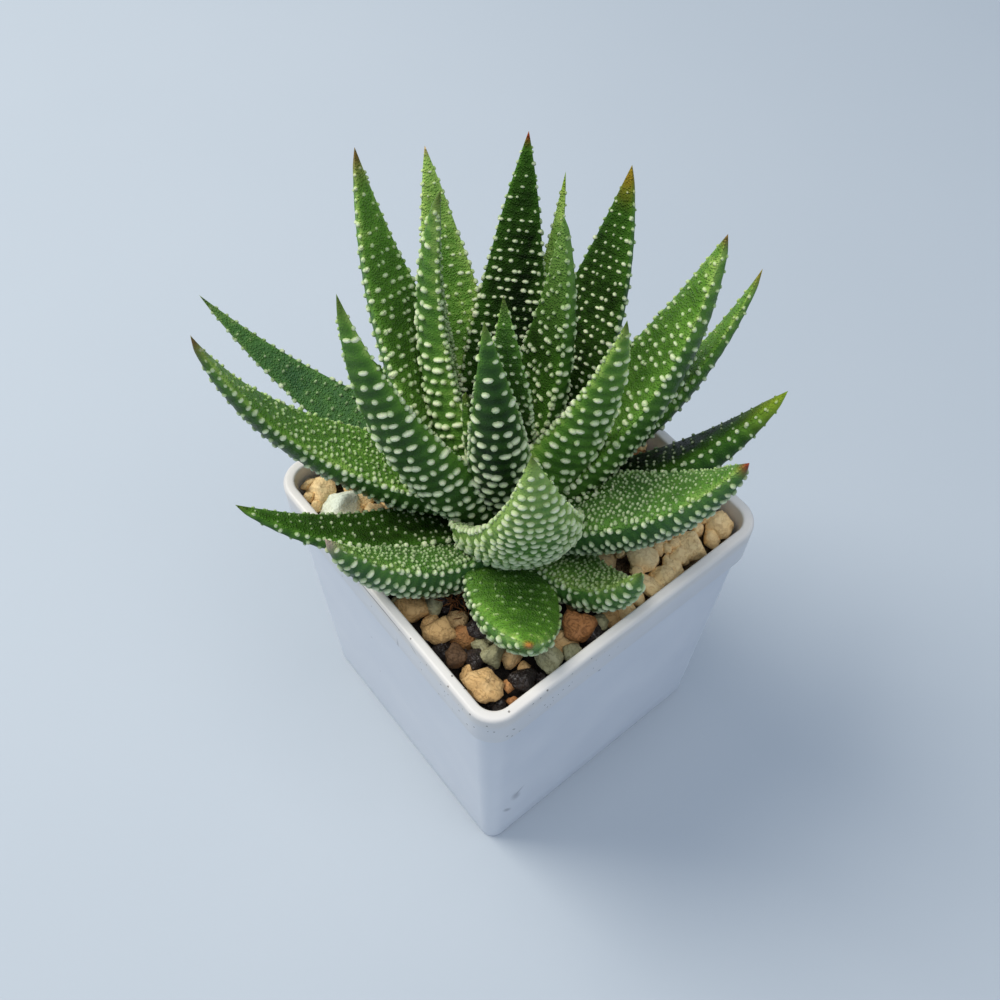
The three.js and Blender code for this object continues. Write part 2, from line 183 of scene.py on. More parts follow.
print("faces of a tube of 3 rings of 4:", [len(faces) for faces in ring_faces(3, 4)])

# %% [markdown]
# ## Nodes by short calls
# A material is a small network of nodes. Written out in full, each node takes
# many lines, so these helpers add a node, set its values and join its inputs in
# one call. An input that is given a socket is linked, and any other value is set.

# %% Node helpers


def join_inputs(tree, node, inputs):
    """Links each input that is given a socket, and sets each that is given a value."""
    for title, value in inputs.items():
        if isinstance(value, bpy.types.NodeSocket):
            tree.links.new(value, node.inputs[title])
        else:
            node.inputs[title].default_value = value
    return node


def add_node(tree, kind, inputs=None, **settings):
    """A new node with its settings made and its inputs joined."""
    node = tree.nodes.new("ShaderNode" + kind)
    for title, value in settings.items():
        setattr(node, title, value)
    return join_inputs(tree, node, inputs or {})


def blend_colours(tree, factor, first, second):
    """The first colour where the factor is 0 and the second where it is 1.

    A Mix node set to colour has its factor at input 0, its two colours at inputs 6
    and 7, and the mixed colour at output 2."""
    node = add_node(tree, "Mix", {0: factor, 6: first, 7: second}, data_type="RGBA")
    return node.outputs[2]


def reckon(tree, operation, first, second=0.0, third=0.0, clamp=False):
    """One sum of a Math node, from up to three values or sockets."""
    inputs = {0: first, 1: second, 2: third}
    return add_node(tree, "Math", inputs, operation=operation, use_clamp=clamp).outputs[0]


def times(tree, first, second):
    """The product of two values or sockets."""
    return reckon(tree, "MULTIPLY", first, second)


def stretch(tree, value, low, high, new_low=0.0, new_high=1.0):
    """A value between low and high, carried smoothly over to the new range."""
    spans = {"Value": value, "From Min": low, "From Max": high, "To Min": new_low, "To Max": new_high}
    return add_node(tree, "MapRange", spans, interpolation_type="SMOOTHSTEP").outputs[0]


print("helpers for nodes: add_node, blend_colours, reckon, times, stretch")

# %% [markdown]
# ## Where a material starts
# Each material starts in the same way: a Principled shader, and the place on the
# object in its own coordinates, so that an effect stays put when the object moves.
# Colours are written as they look on a screen, which is easier to compare with the
# real thing, and one formula turns them into the linear values that nodes use.

# %% Material helpers


def point_value(tree, title):
    """A named attribute of the mesh, as a node with its outputs."""
    return add_node(tree, "Attribute", attribute_name=title)


def paint(red, green, blue):
    """A colour as seen on a screen, 0 to 255, turned into the linear one nodes use."""
    screen = np.array([red, green, blue]) / 255
    linear = np.where(screen <= 0.04045, screen / 12.92, ((screen + 0.055) / 1.055) ** 2.4)
    return (*[float(part) for part in linear], 1.0)


def empty_material(name):
    """A material with a Principled shader and the object's own coordinates."""
    material = bpy.data.materials.new(name)
    material.use_nodes = True
    tree = material.node_tree
    place = add_node(tree, "TexCoord").outputs["Object"]
    return material, tree, tree.nodes["Principled BSDF"], place


print("a warm white in linear colour:", paint(230, 227, 226))

# %% [markdown]
# ## Shared effects: grain, mottling and specks
# Skin, stone, soil and plastic share three effects. Grain is a field of tiny
# raised cells, mottling is a slow drift between two tones, and specks are rare
# small spots. Each is a node group with named inputs and outputs, built once, so
# that every material can use it at its own scale.

# %% Node groups


def new_group(name, inputs, outputs):
    """An empty group, the sockets that it is given and those that it fills."""
    group = bpy.data.node_groups.new(name, "ShaderNodeTree")
    group.interface.new_socket("Vector", in_out="INPUT", socket_type="NodeSocketVector")
    for title, value in inputs.items():
        socket = group.interface.new_socket(title, in_out="INPUT", socket_type="NodeSocketFloat")
        socket.default_value = value
    for title in outputs:
        group.interface.new_socket(title, in_out="OUTPUT", socket_type="NodeSocketFloat")
    given = group.nodes.new("NodeGroupInput").outputs
    result = group.nodes.new("NodeGroupOutput").inputs
    return group, given, result


def use_group(tree, group, inputs):
    """The outputs of a group that is placed in a material with its own values."""
    return add_node(tree, "Group", inputs, node_tree=group).outputs


grain, given, result = new_group("fine_grain", {"Scale": 2600.0}, ["Height", "Speck"])
cells = add_node(grain, "TexVoronoi", {"Vector": given["Vector"], "Scale": given["Scale"]})
half_scale = times(grain, given["Scale"], 0.45)
waves = add_node(grain, "TexNoise", {"Vector": given["Vector"], "Scale": half_scale, "Detail": 4.0})
domes = stretch(grain, cells.outputs["Distance"], 0.0, 0.62, 1.0, 0.0)
rough = times(grain, waves.outputs[0], 0.9)
grain.links.new(reckon(grain, "ADD", domes, rough), result["Height"])
grain.links.new(stretch(grain, domes, 0.55, 0.95), result["Speck"])

mottle, given, result = new_group("mottling", {"Scale": 200.0, "Low": 0.35, "High": 0.65}, ["Fac"])
cloud_inputs = {"Vector": given["Vector"], "Scale": given["Scale"], "Detail": 5.0}
cloud = add_node(mottle, "TexNoise", cloud_inputs).outputs[0]
span = {"Value": cloud, "From Min": given["Low"], "From Max": given["High"]}
mottle.links.new(add_node(mottle, "MapRange", span).outputs[0], result["Fac"])

specks, given, result = new_group("specks", {"Scale": 700.0, "Share": 0.06, "Size": 0.22}, ["Fac"])
spots = add_node(specks, "TexVoronoi", {"Vector": given["Vector"], "Scale": given["Scale"]})
chance = add_node(specks, "SeparateColor", {"Color": spots.outputs["Color"]}).outputs[0]
chosen = reckon(specks, "LESS_THAN", chance, given["Share"])
close = reckon(specks, "LESS_THAN", spots.outputs["Distance"], given["Size"])
specks.links.new(times(specks, chosen, close), result["Fac"])
print("shared groups:", grain.name, mottle.name, specks.name)

# %% [markdown]
# ## The skin of the leaves
# Between its bumps the skin is a waxy green with fine grain on the face that
# looks at the stem, and smoother and bluer on the back. It is painted darker
# between two rows of bumps, a painted shade in the hollows there, and painted
# lighter beside them, a painted glow of light through the swollen foot of each
# bump. The bumps are cream white. Light passes a little way into the juicy
# tissue, which a touch of subsurface gives.
#
# The leaf mesh carries what differs from point to point: `white` is 1 on top of a
# bump, `tone` is how light the green is, in part the leaf's own green and in part
# painted light and shade, `row_shading` is high in a row of bumps and low between
# two rows, for painted light and shade, `inside` is 1 on the inner face, `cool` is
# how bluish the wax is, and `tip_tint` holds the colour that a leaf's tip has
# dried to, with how strong it is as alpha. A few dark leaves stand in the shade of
# the others, where the sky's sheen would turn them grey, so their skin is the same
# but duller.

# %% Leaf material
LEAF_GREENS = (
    (0.05, (14, 28, 6)),
    (0.42, (56, 94, 26)),
    (0.72, (98, 144, 48)),
    (1.0, (168, 200, 96)),
)
WAX_GREEN, GRAIN_GREEN, BUMP_CREAM = (50, 92, 66), (124, 166, 80), (224, 231, 192)
PATCH_SHARE, ROW_SHADING_SHARE = 0.18, 0.34
GRAIN_SHARE, BACK_GRAIN, DRIED_SHARE = 0.55, 0.4, 0.45
GRAIN_HEIGHT, BACK_RELIEF, INNER_RELIEF = 0.00022, 0.5, 0.75
TISSUE_SHARE, TISSUE_REACH, TISSUE_DEPTH = 0.12, (0.35, 1.0, 0.2), 0.0012
GLOSS, SHADED_GLOSS = 0.22, 0.06
SHADED = ("leaf_04", "leaf_06", "leaf_07", "leaf_10", "leaf_19")


def green_ramp(tree, level):
    """The green at a level, from the darkest stop of LEAF_GREENS to the palest."""
    ramp = add_node(tree, "ValToRGB", {"Fac": level})
    stops = ramp.color_ramp.elements
    stops[0].position, stops[1].position = LEAF_GREENS[0][0], LEAF_GREENS[-1][0]
    for position, _ in LEAF_GREENS[1:-1]:
        stops.new(position)
    for stop, (_, colour) in zip(stops, LEAF_GREENS):
        stop.color = paint(*colour)
    return ramp.outputs[0]


def leaf_material(name, gloss):
    """The skin of a leaf: gloss is the shader's specular level, the same all over."""
    material, tree, shader, place = empty_material(name)
    titles = ("white", "tone", "row_shading", "inside", "cool")
    white, tone, row_shading, inside, cool = (point_value(tree, title).outputs["Fac"] for title in titles)
    tint = point_value(tree, "tip_tint").outputs
    patches = use_group(tree, mottle, {"Vector": place, "Scale": 170.0, "Low": 0.3, "High": 0.7})["Fac"]
    fine = use_group(tree, grain, {"Vector": place, "Scale": 2300.0})
    level = reckon(tree, "ADD", tone, times(tree, patches, PATCH_SHARE))
    # Painted shade lowers the green between rows of bumps, and a painted glow raises it beside them.
    level = reckon(tree, "ADD", level, times(tree, row_shading, ROW_SHADING_SHARE))
    bluish = blend_colours(tree, cool, green_ramp(tree, level), paint(*WAX_GREEN))

    light_skin = times(tree, stretch(tree, level, 0.1, 0.5), GRAIN_SHARE)
    pale_grain = times(tree, fine["Speck"], light_skin)
    pale_grain = times(tree, pale_grain, reckon(tree, "MAXIMUM", inside, BACK_GRAIN))
    green = blend_colours(tree, pale_grain, bluish, paint(*GRAIN_GREEN))
    green = blend_colours(tree, tint["Alpha"], green, tint["Color"])
    dried = times(tree, tint["Alpha"], DRIED_SHARE)
    cream = blend_colours(tree, dried, paint(*BUMP_CREAM), tint["Color"])
    tree.links.new(blend_colours(tree, white, green, cream), shader.inputs["Base Color"])
    tree.links.new(stretch(tree, patches, 0.0, 1.0, 0.36, 0.5), shader.inputs["Roughness"])

    off_bumps = reckon(tree, "SUBTRACT", 1.0, white)
    grainy = reckon(tree, "MULTIPLY_ADD", inside, INNER_RELIEF, BACK_RELIEF)
    grainy = times(tree, grainy, off_bumps)
    height = times(tree, fine["Height"], grainy)
    relief = add_node(tree, "Bump", {"Height": height, "Distance": GRAIN_HEIGHT, "Strength": 0.9})
    tree.links.new(relief.outputs[0], shader.inputs["Normal"])
    shader.inputs["Specular IOR Level"].default_value = gloss
    shader.inputs["Subsurface Weight"].default_value = TISSUE_SHARE
    shader.inputs["Subsurface Radius"].default_value = TISSUE_REACH
    shader.inputs["Subsurface Scale"].default_value = TISSUE_DEPTH
    return material


leaf_skin = leaf_material("leaf_skin", GLOSS)
shaded_skin = leaf_material("shaded_leaf_skin", SHADED_GLOSS)
print("leaf material nodes:", len(leaf_skin.node_tree.nodes))

# %% [markdown]
# ## The leaves one by one
# The leaves stand about a short stem, the young ones upright and the old ones
# spread low. Each is a row of numbers in one table, and one formula makes them all.
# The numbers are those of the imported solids, so each fine leaf lies where its
# solid does.

# %% Leaf rows
TAPER = 1.8
# In degrees: at is where the foot stands about the stem, turn is the heading of the
# leaf, rise its climb and roll its twist. In millimetres: length and width, bow and
# sway, the height of the seat and how far out from the stem it is. As shares: taper
# is the power of the outline, deep the fullness of the back and puff of the inner face.
COLUMNS = "at turn rise length width bow sway seat out taper roll deep puff".split()
LEAVES = {
    "leaf_14": (-17, -165, 85, 47, 12, 2.5, -0.5, 88, 5.5, TAPER, -20, 0.6, 0.1),
    "leaf_15": (125, 56, 89, 46, 13, -3.5, -2, 88, 3.5, 1.6, 17, 0.6, -0.05),
    "leaf_27": (215, 215, 80, 24, 7, 0.5, 0, 89, 0.5, TAPER, 0, 0.6, 0.1),
    "leaf_06": (94, 111, 73, 53.5, 15, 3.5, 0, 87, 5, 1.6, -12, 0.75, 0.15),
    "leaf_03": (190, 158, 73, 57.5, 15.5, 7.5, -2.5, 86.5, 4.5, 1.9, 46, 0.6, 0.1),
    "leaf_13": (-1, 65, 71, 51.5, 18, 1, 5, 85.5, 7.5, 1.2, -22, 0.4, 0.1),
    "leaf_16": (-61, -148, 66, 55.5, 16.5, 3.5, -2, 86, 7, 1.3, 16, 0.4, 0.1),
    "leaf_04": (135, 132, 54, 62, 17.5, 4, 0, 86, 5, TAPER, 0, 0.6, 0.1),
    "leaf_07": (88, 109, 51, 61, 20.5, 5, -0.3, 86, 5, TAPER, 0, 0.6, 0.1),
    "leaf_01": (186, 174, 54, 63, 19.5, 5.5, 0.5, 86.5, 5, 1.35, 6, 0.65, 0.1),
    "leaf_08": (52, 79, 55, 62.5, 19.5, 5.5, 1.5, 83.5, 7, 2, 6, 0.8, 0.15),
    "leaf_21": (-12, -29, 72, 45.5, 27, 6, -0.5, 81.5, 8, 1.3, -17, 0.45, 0.05),
    "leaf_18": (-135, -124, 49, 63.5, 19.5, 12, -2, 83.5, 5.5, 1.1, 20, 0.65, 0.2),
    "leaf_02": (155, 158, 52, 61, 16, 4, 0, 85, 5, TAPER, 0, 0.6, 0.1),
    "leaf_05": (120, 123, 50, 57, 8.8, 4, -0.6, 85, 5, 1.4, 0, 0.6, 0.1),
    "leaf_17": (-164, -152, 27, 60.5, 15.5, 7.5, 0, 84.5, 6, 1.1, -15, 0.6, 0.05),
    "leaf_09": (60, 78, 38, 61.5, 14.5, 8, -0.5, 83.5, 5, 1.4, -16, 0.7, 0.1),
    "leaf_11": (35, 30, 41, 52, 19.5, 6.5, 0, 81.5, 5.5, 2.2, -14, 0.8, 0.3),
    "leaf_10": (40, 60, 28, 56, 17.5, 4.8, -1, 80.5, 5, 2.4, -29, 0.8, 0.2),
    "leaf_20": (-27, -102, 36, 41, 17, 6, -3.5, 79, 8, 1.9, -8, 0.75, 0.3),
    "leaf_22": (-41, -27, 19, 34.6, 18.5, 6.5, 1, 81.5, 5.5, 3.9, -14, 0.5, 0.3),
    "leaf_12": (6, 6, 32, 36, 14.5, 10, 0.5, 78.5, 6, 2.3, -23, 0.7, 0.3),
    "leaf_19": (-91, -117, 23, 46, 12.5, 3.5, 2, 79, 5.5, 2, 7, 0.7, 0.1),
    "leaf_23": (105, 102, 18, 35, 14, 5, 0, 81, 5, TAPER, 0, 0.6, 0.1),
    "leaf_24": (150, 148, 20, 46, 15, 6, 0, 81, 5, TAPER, 0, 0.6, 0.1),
    "leaf_25": (190, 186, 24, 34, 14, 5, 0, 82, 5, TAPER, 0, 0.6, 0.1),
    "leaf_26": (78, 84, 15, 38, 14, 5, 0, 81, 5, TAPER, 0, 0.6, 0.1),
}


leaf_rows = {name: dict(zip(COLUMNS, row)) for name, row in LEAVES.items()}
print("leaves:", len(leaf_rows), "longest:", max(leaf["length"] for leaf in leaf_rows.values()), "mm")

# %% [markdown]
# ## The form of a leaf
# A leaf runs along a middle line that hangs out below the straight line from its
# foot to its tip. Across it the section has a nearly flat inner face and a full
# outer one, and near the foot both margins bend up round the stem. It could be
# modelled by hand, but a formula gives any point of the skin, so that the bumps
# can be laid on it as well.

# %% Middle line and section
STEM_X, STEM_Y = -3, -4
OUTER_LEAST, INNER_DEPTH, FULLNESS = 0.5, 0.55, 0.85
CUP_AT_FOOT, CUP_AT_TIP = 0.36, 0.06
FOOT_POINT = 1.2
EDGE_POWER, FOOT_SHARE, FOOT_GAIN, FOOT_SPAN = 0.95, 0.8, 0.2, 0.15
THIN_SPAN, PUFF_SPAN, INNER_SHARE = 0.05, 0.35, 0.3


def middle_line(leaf, t):
    """Point, across and inner direction at t, which runs from foot 0 to tip 1.

    The line is the chord from foot to tip, sunk by bow * 4t(1-t) away from the
    inner side and swung by sway * 4t(1-t) sideways. Roll turns both directions
    about the line."""
    at, turn, rise = np.radians([leaf["at"], leaf["turn"], leaf["rise"]])
    foot = np.array([STEM_X + leaf["out"] * np.cos(at), STEM_Y + leaf["out"] * np.sin(at), leaf["seat"]])
    chord = np.array([np.cos(rise) * np.cos(turn), np.cos(rise) * np.sin(turn), np.sin(rise)])
    facing = np.array([-np.sin(rise) * np.cos(at), -np.sin(rise) * np.sin(at), np.cos(rise)])
    inner = unit(facing - facing @ chord * chord)
    side = np.cross(inner, chord)
    swell = (4 * t * (1 - t))[..., None]
    slope = (4 * (1 - 2 * t) / leaf["length"])[..., None]
    swing = side * leaf["sway"] - inner * leaf["bow"]
    point = foot + chord * leaf["length"] * t[..., None] + swing * swell
    along = unit(chord + swing * slope)
    level = unit(np.cross(inner, along))
    upright = np.cross(along, level)
    roll = np.radians(leaf["roll"])
    across = level * np.cos(roll) + upright * np.sin(roll)
    return point, along, across, np.cross(along, across)


def on_leaf(leaf, t, angle, lift):
    """Points on a leaf at t and at an angle round its section, lifted off the skin.

    Angle 0 is one margin, 90 degrees the middle of the inner face, 180 the other
    margin and 270 the keel. The section is a half ellipse on the inner side and a
    fuller one, with sine and cosine to the power FULLNESS, on the outer side. Both
    are bent up by the square of the distance from the middle."""
    point, along, across, inner = middle_line(leaf, t)
    narrower_foot = FOOT_SHARE + FOOT_GAIN * np.minimum(1, t / FOOT_SPAN)
    share = (1 - t ** leaf["taper"]) ** EDGE_POWER * narrower_foot
    half = leaf["width"] / 2 * share
    cos, sin = np.cos(angle), np.sin(angle)
    power = np.where(sin > 0, 1.0, FULLNESS)
    s, c = np.sign(cos) * np.abs(cos) ** power, np.sign(sin) * np.abs(sin) ** power
    least = OUTER_LEAST * np.minimum(1, (1 - t) / THIN_SPAN)
    swollen = half * leaf["puff"] * np.minimum(1, t / PUFF_SPAN)
    shallow = np.minimum(INNER_DEPTH, half * INNER_SHARE) + swollen
    depth = np.where(sin > 0, shallow, half * leaf["deep"] + least)
    cup = (CUP_AT_FOOT - CUP_AT_TIP) * (1 - t) ** 2 + CUP_AT_TIP
    bend = cup * half
    out = unit(np.stack([s * depth - 2 * bend * s * c, c * half], -1))
    x = s * half + lift * out[..., 0]
    z = c * depth + bend * s * s + lift * out[..., 1]
    return point + across * x[..., None] + inner * z[..., None]


tip = on_leaf(leaf_rows["leaf_14"], np.array([1.0]), np.array([0.0]), np.array([0.0]))[0]
print("the tip of leaf_14 is", round(float(tip[2]), 1), "mm above the floor")

# %% [markdown]
# ## Where the bumps stand
# Bumps stand in rows across the leaf, closer near the foot than near the tip. On
# the back they are large and drawn out sideways. The inner faces come in kinds:
# some are crisp, with clear white dots on dark skin, and some are grainy, with a
# crowd of small pimples. Along both margins stands a line of larger beads.
#
# A bump could be painted on, but the real ones catch the light and notch the
# leaf's outline. So each is a small closed dome. Its points are given as
# millimetres along and across the leaf, and the leaf's own formula carries them
# onto the skin, so that a dome follows every bend of it.

# %% Kinds of bumps
# step: between rows, at foot and tip. gap: between the bumps of a row, likewise.
# wide, long, high: size of one bump. wander: how far it strays, as a share of the
# gap. kept: the share of places that has a bump, at foot and tip. edge: how much
# larger the bumps grow towards the margins. spread: how much their sizes differ.
# pale: how white they are. swell: how far the skin rises in each row. least: the
# share of its size that a bump keeps at the very tip, if not one half.
BUMPS = {
    "bold": dict(step=(2.05, 3.3), gap=(2.35, 2.3), wide=2.1, long=1.45, high=0.74, wander=0.36,
                 kept=(0.95, 0.88), edge=0.0, spread=0.45, pale=1.0, swell=0.16),
    "plain": dict(step=(1.8, 2.9), gap=(2.0, 2.4), wide=1.6, long=1.12, high=0.6, wander=0.26,
                  kept=(0.97, 0.85), edge=0.0, spread=0.38, pale=0.9, swell=0.14),
    "dense": dict(step=(1.75, 1.9), gap=(1.95, 1.85), wide=1.8, long=1.1, high=0.7, wander=0.24,
                  kept=(1.0, 0.97), edge=0.0, spread=0.32, pale=0.84, swell=0.26, least=0.72),
    "crisp": dict(step=(1.4, 2.1), gap=(1.55, 2.1), wide=1.22, long=0.92, high=0.46, wander=0.36,
                  kept=(0.92, 0.84), edge=0.4, spread=0.42, pale=0.78, swell=0.08),
    "dotted": dict(step=(1.5, 2.3), gap=(1.6, 2.3), wide=1.25, long=1.1, high=0.54, wander=0.48,
                   kept=(0.9, 0.8), edge=0.4, spread=0.5, pale=0.64, swell=0.05),
    "grainy": dict(step=(1.05, 1.8), gap=(1.1, 1.9), wide=0.92, long=0.84, high=0.46, wander=0.48,
                   kept=(0.9, 0.8), edge=0.6, spread=0.6, pale=0.5, swell=0.03),
    "frosty": dict(step=(0.95, 1.3), gap=(1.05, 1.25), wide=0.9, long=0.76, high=0.46, wander=0.4,
                   kept=(0.95, 0.92), edge=0.5, spread=0.45, pale=0.47, swell=0.04),
    "bare": dict(step=(1.8, 2.2), gap=(2.0, 2.4), wide=0.95, long=0.85, high=0.42, wander=0.46,
                 kept=(0.8, 0.7), edge=0.3, spread=0.5, pale=0.28, swell=0.06),
    "sparse": dict(step=(1.3, 2.4), gap=(1.5, 2.3), wide=0.88, long=0.76, high=0.38, wander=0.45,
                   kept=(0.9, 0.7), edge=0.4, spread=0.5, pale=0.5, swell=0.0),
    "margin": dict(step=(1.5, 2.1), gap=(1.0, 1.0), wide=1.15, long=1.4, high=0.58, wander=0.2,
                   kept=(0.98, 0.94), edge=0.0, spread=0.4, pale=0.8, swell=0.0),
}
print("kinds of bumps:", len(BUMPS))

# %% [markdown]
# ## One bump
# A real bump is a little dome with a white top. A dome here is two or three rings
# and a top, so it has only a few dozen faces. Its outermost ring lies under the
# skin, so no gap can show, and the white starts above it.

# %% One dome
ROUND_PLAN = dict(around=8, reach=(1.0, 0.8, 0.5), height=(-0.3, 0.44, 0.88), white=(0.0, 0.45, 1.0))
PIMPLE_PLAN = dict(around=6, reach=(1.0, 0.62), height=(-0.4, 0.74), white=(0.0, 0.75))


def dome_plan(around, reach, height, white):
    """One dome of radius 1 and height 1: its points, how white each is, its faces."""
    turn = 2 * np.pi * np.arange(around) / around
    rings = np.array(reach)[:, None]
    u = np.concatenate([(rings * np.sin(turn)).ravel(), [0, 0]])
    v = np.concatenate([(rings * np.cos(turn)).ravel(), [0, 0]])
    up = np.concatenate([np.repeat(height, around), [height[0], 1.0]])
    pale = np.concatenate([np.repeat(white, around), [0, 1.0]])
    return np.stack([u, v, up, pale]), ring_faces(len(reach), around)


round_dome = dome_plan(**ROUND_PLAN)
pimple_dome = dome_plan(**PIMPLE_PLAN)
print("points of a dome:", round_dome[0].shape[1], "and of a pimple:", pimple_dome[0].shape[1])

# %% [markdown]
# ## All the bumps of a face
# Every row is walked in millimetres along the skin, so that bumps keep their
# distance where the section bends. Sizes, places and whiteness differ by seeded
# chance, and now and then a place stays empty, as on the real leaf.

# %% Bumps of one face
FIRST_ROW, LAST_ROW = 2.0, 0.955
SECTION_STEPS, SPARE_TURN = 161, 0.7
STAGGER = 0.25
TIP_SIZE, TIP_GROWTH, TIP_SPAN = 0.5, 0.5, 0.45
EDGE_CROWD, STRAY_SHARE = 6, 0.6
LONG_RANGE, HIGH_RANGE, PALE_RANGE = (0.8, 1.2), (0.75, 1.15), (0.8, 1.1)
LEAST_T, MOST_T = 0.005, 0.985


def bump_rows(leaf, kind):
    """Distances of the rows from the foot: each step is longer than the last."""
    places, here = [], FIRST_ROW
    first, last = kind["step"]
    while here < leaf["length"] * LAST_ROW:
        places.append(here)
        here += first + (last - first) * here / leaf["length"]
    return np.array(places)


def walk_section(leaf, t, start, stop):
    """Angles from start to stop and the millimetres walked along the skin to each."""
    angle = np.linspace(start - SPARE_TURN, stop + SPARE_TURN, SECTION_STEPS)
    edge = on_leaf(leaf, np.full(len(angle), t), angle, np.zeros(len(angle)))
    walked = np.concatenate([[0], np.cumsum(np.linalg.norm(np.diff(edge, axis=0), axis=1))])
    return angle, walked - np.interp(start, angle, walked)


def chances(random, limits, number):
    """A column of random numbers between two limits."""
    return random.uniform(*limits, number)[:, None]


def place_bumps(leaf, kind, rows, start, stop, random, plan):
    """The points of all the domes of one face: t, angle, lift and whiteness.

    A row's places are evenly spaced, staggered from row to row and moved by a
    random share of the gap. A bump is smaller near the tip and larger near the
    margins by the sixth power of the angle's cosine, and a small bump is less
    white, by the square root of its size."""
    found = []
    for count, along in enumerate(rows):
        t = along / leaf["length"]
        angle, walked = walk_section(leaf, t, start, stop)
        span = np.interp(stop, angle, walked)
        foot_gap, tip_gap = kind["gap"]
        gap = foot_gap + (tip_gap - foot_gap) * t
        number = max(1, int(round(span / gap)))
        spot = (np.arange(number) + 0.5 + STAGGER * (-1) ** count) / number * span
        spot += kind["wander"] * gap * random.uniform(-1, 1, number)
        at_foot, at_tip = kind["kept"]
        spot = spot[random.random(number) < at_foot + (at_tip - at_foot) * t]
        near_edge = np.cos(np.interp(spot, walked, angle)) ** EDGE_CROWD
        shrink = min(1.0, kind.get("least", TIP_SIZE) + TIP_GROWTH * (1 - t) / TIP_SPAN)
        shrink = shrink * (1 + kind["edge"] * near_edge)[:, None]
        number = len(spot)
        wide_range = (1 - kind["spread"], 1 + kind["spread"])
        wide = kind["wide"] / 2 * chances(random, wide_range, number) * shrink
        long = kind["long"] / 2 * chances(random, LONG_RANGE, number) * shrink
        stray = kind["wander"] * STRAY_SHARE * chances(random, (-1, 1), number)
        u = plan[0] * long + stray
        v = plan[1] * wide + spot[:, None]
        lift = plan[2] * kind["high"] * chances(random, HIGH_RANGE, number) * shrink
        t_all = np.clip((along + u) / leaf["length"], LEAST_T, MOST_T)
        weight = np.sqrt(wide * 2 / kind["wide"]) * chances(random, PALE_RANGE, number)
        pale = plan[3] * np.minimum(1, kind["pale"] * weight)
        found.append(np.stack([t_all, np.interp(v, walked, angle), lift, pale]))
    return np.concatenate(found, axis=1)


print("the first row of bumps is", FIRST_ROW, "mm from a leaf's foot")

# %% [markdown]
# ## How each leaf looks
# No two leaves are alike. Some stand in the light and are painted paler, others
# stand in the shade of their neighbours and are painted darker, and many tips
# have dried or blushed. A row gives the kinds of inner face and back, how light
# the green of either is, the colour of the tip and how many millimetres of the
# tip it covers. That lightness is in part the leaf's own green and in part painted
# light and shade, and a back that hangs low is painted darker, for the shade
# under it. Some leaves have a bluish wax: a pair gives its share on the inner
# face and on the back.

# %% Looks of the leaves
RED, TAN_TIP, BROWN, DRY = (150, 46, 32), (206, 160, 112), (124, 84, 36), (196, 168, 150)
OCHRE, LIME, FRESH = (150, 122, 32), (146, 168, 46), (116, 152, 72)
OLIVE, SPOT = (88, 104, 40), (190, 110, 50)
# Face and back tones: in part the leaf's own green and in part painted light and shade; the shaded
# leaf_04, leaf_07 and leaf_10 are painted darkest.
LOOKS = {
    "leaf_01": ("dotted", "plain", 0.38, 0.2, BROWN, 7),
    "leaf_02": ("crisp", "plain", 0.52, 0.24, TAN_TIP, 2.2),
    "leaf_03": ("grainy", "bold", 0.3, 0.32, OLIVE, 6),
    "leaf_04": ("crisp", "plain", -0.08, 0.0, RED, 2.6),
    "leaf_05": ("sparse", "plain", 0.58, 0.3, LIME, 7),
    "leaf_06": ("dotted", "plain", 0.1, 0.08, FRESH, 24),
    "leaf_07": ("crisp", "plain", -0.06, 0.0, OCHRE, 7),
    "leaf_08": ("dotted", "plain", 0.34, 0.12, BROWN, 3),
    "leaf_09": ("sparse", "plain", 0.36, 0.14, OCHRE, 4),
    "leaf_10": ("sparse", "plain", -0.06, -0.04, LIME, 10),
    "leaf_11": ("frosty", "dense", 0.3, 0.06, RED, 2.8),
    "leaf_12": ("frosty", "dense", 0.42, 0.14, OLIVE, 2),
    "leaf_13": ("grainy", "bold", 0.24, 0.36, OLIVE, 5),
    "leaf_14": ("grainy", "bold", 0.14, -0.02, OLIVE, 4),
    "leaf_15": ("crisp", "plain", 0.1, 0.1, OLIVE, 4),
    "leaf_16": ("grainy", "bold", 0.18, 0.2, OLIVE, 6),
    "leaf_17": ("bare", "plain", 0.34, 0.2, OLIVE, 4),
    "leaf_18": ("grainy", "plain", 0.45, 0.06, BROWN, 6),
    "leaf_19": ("sparse", "plain", 0.06, 0.0, OLIVE, 3),
    "leaf_20": ("frosty", "dense", 0.3, 0.08, DRY, 3.5),
    "leaf_21": ("frosty", "dense", 0.38, 0.5, OLIVE, 3),
    "leaf_22": ("bare", "dense", 0.2, 0.12, SPOT, 1.1),
}
PLAIN_LOOK = ("sparse", "plain", 0.2, 0.1, OLIVE, 5)
WAX = {
    "leaf_11": (0.2, 0.36), "leaf_12": (0.2, 0.36), "leaf_20": (0.2, 0.36),
    "leaf_21": (0.2, 0.36), "leaf_22": (0.0, 0.36), "leaf_17": (0.45, 0.45),
}
THIN_WAX = (0.0, 0.1)
print("leaves with a look of their own:", len(LOOKS))

# %% [markdown]
# ## The skin of a leaf and the bumps on it
# The skin is a grid: one direction runs from foot to tip and the other round the
# section. It swells a little in each row of bumps. The domes are added to the
# same mesh with their rims just under the skin, so a leaf stays one piece.

# %% Skin and domes
SKIN_ROWS, SKIN_AROUND = 84, 44
ROW_CROWDING, SWELL_SPAN = 0.95, 0.3
FACE_EDGE, BACK_EDGE, MARGIN_EDGE = 0.2, 0.24, 0.02
ROUND_KINDS = ("crisp", "dotted")


def row_wave(leaf, rows, t):
    """1 in a row of bumps and 0 halfway to the next, as a cosine over the rows."""
    phase = np.interp(t * leaf["length"], rows, np.arange(len(rows)))
    return 0.5 + 0.5 * np.cos(2 * np.pi * phase)


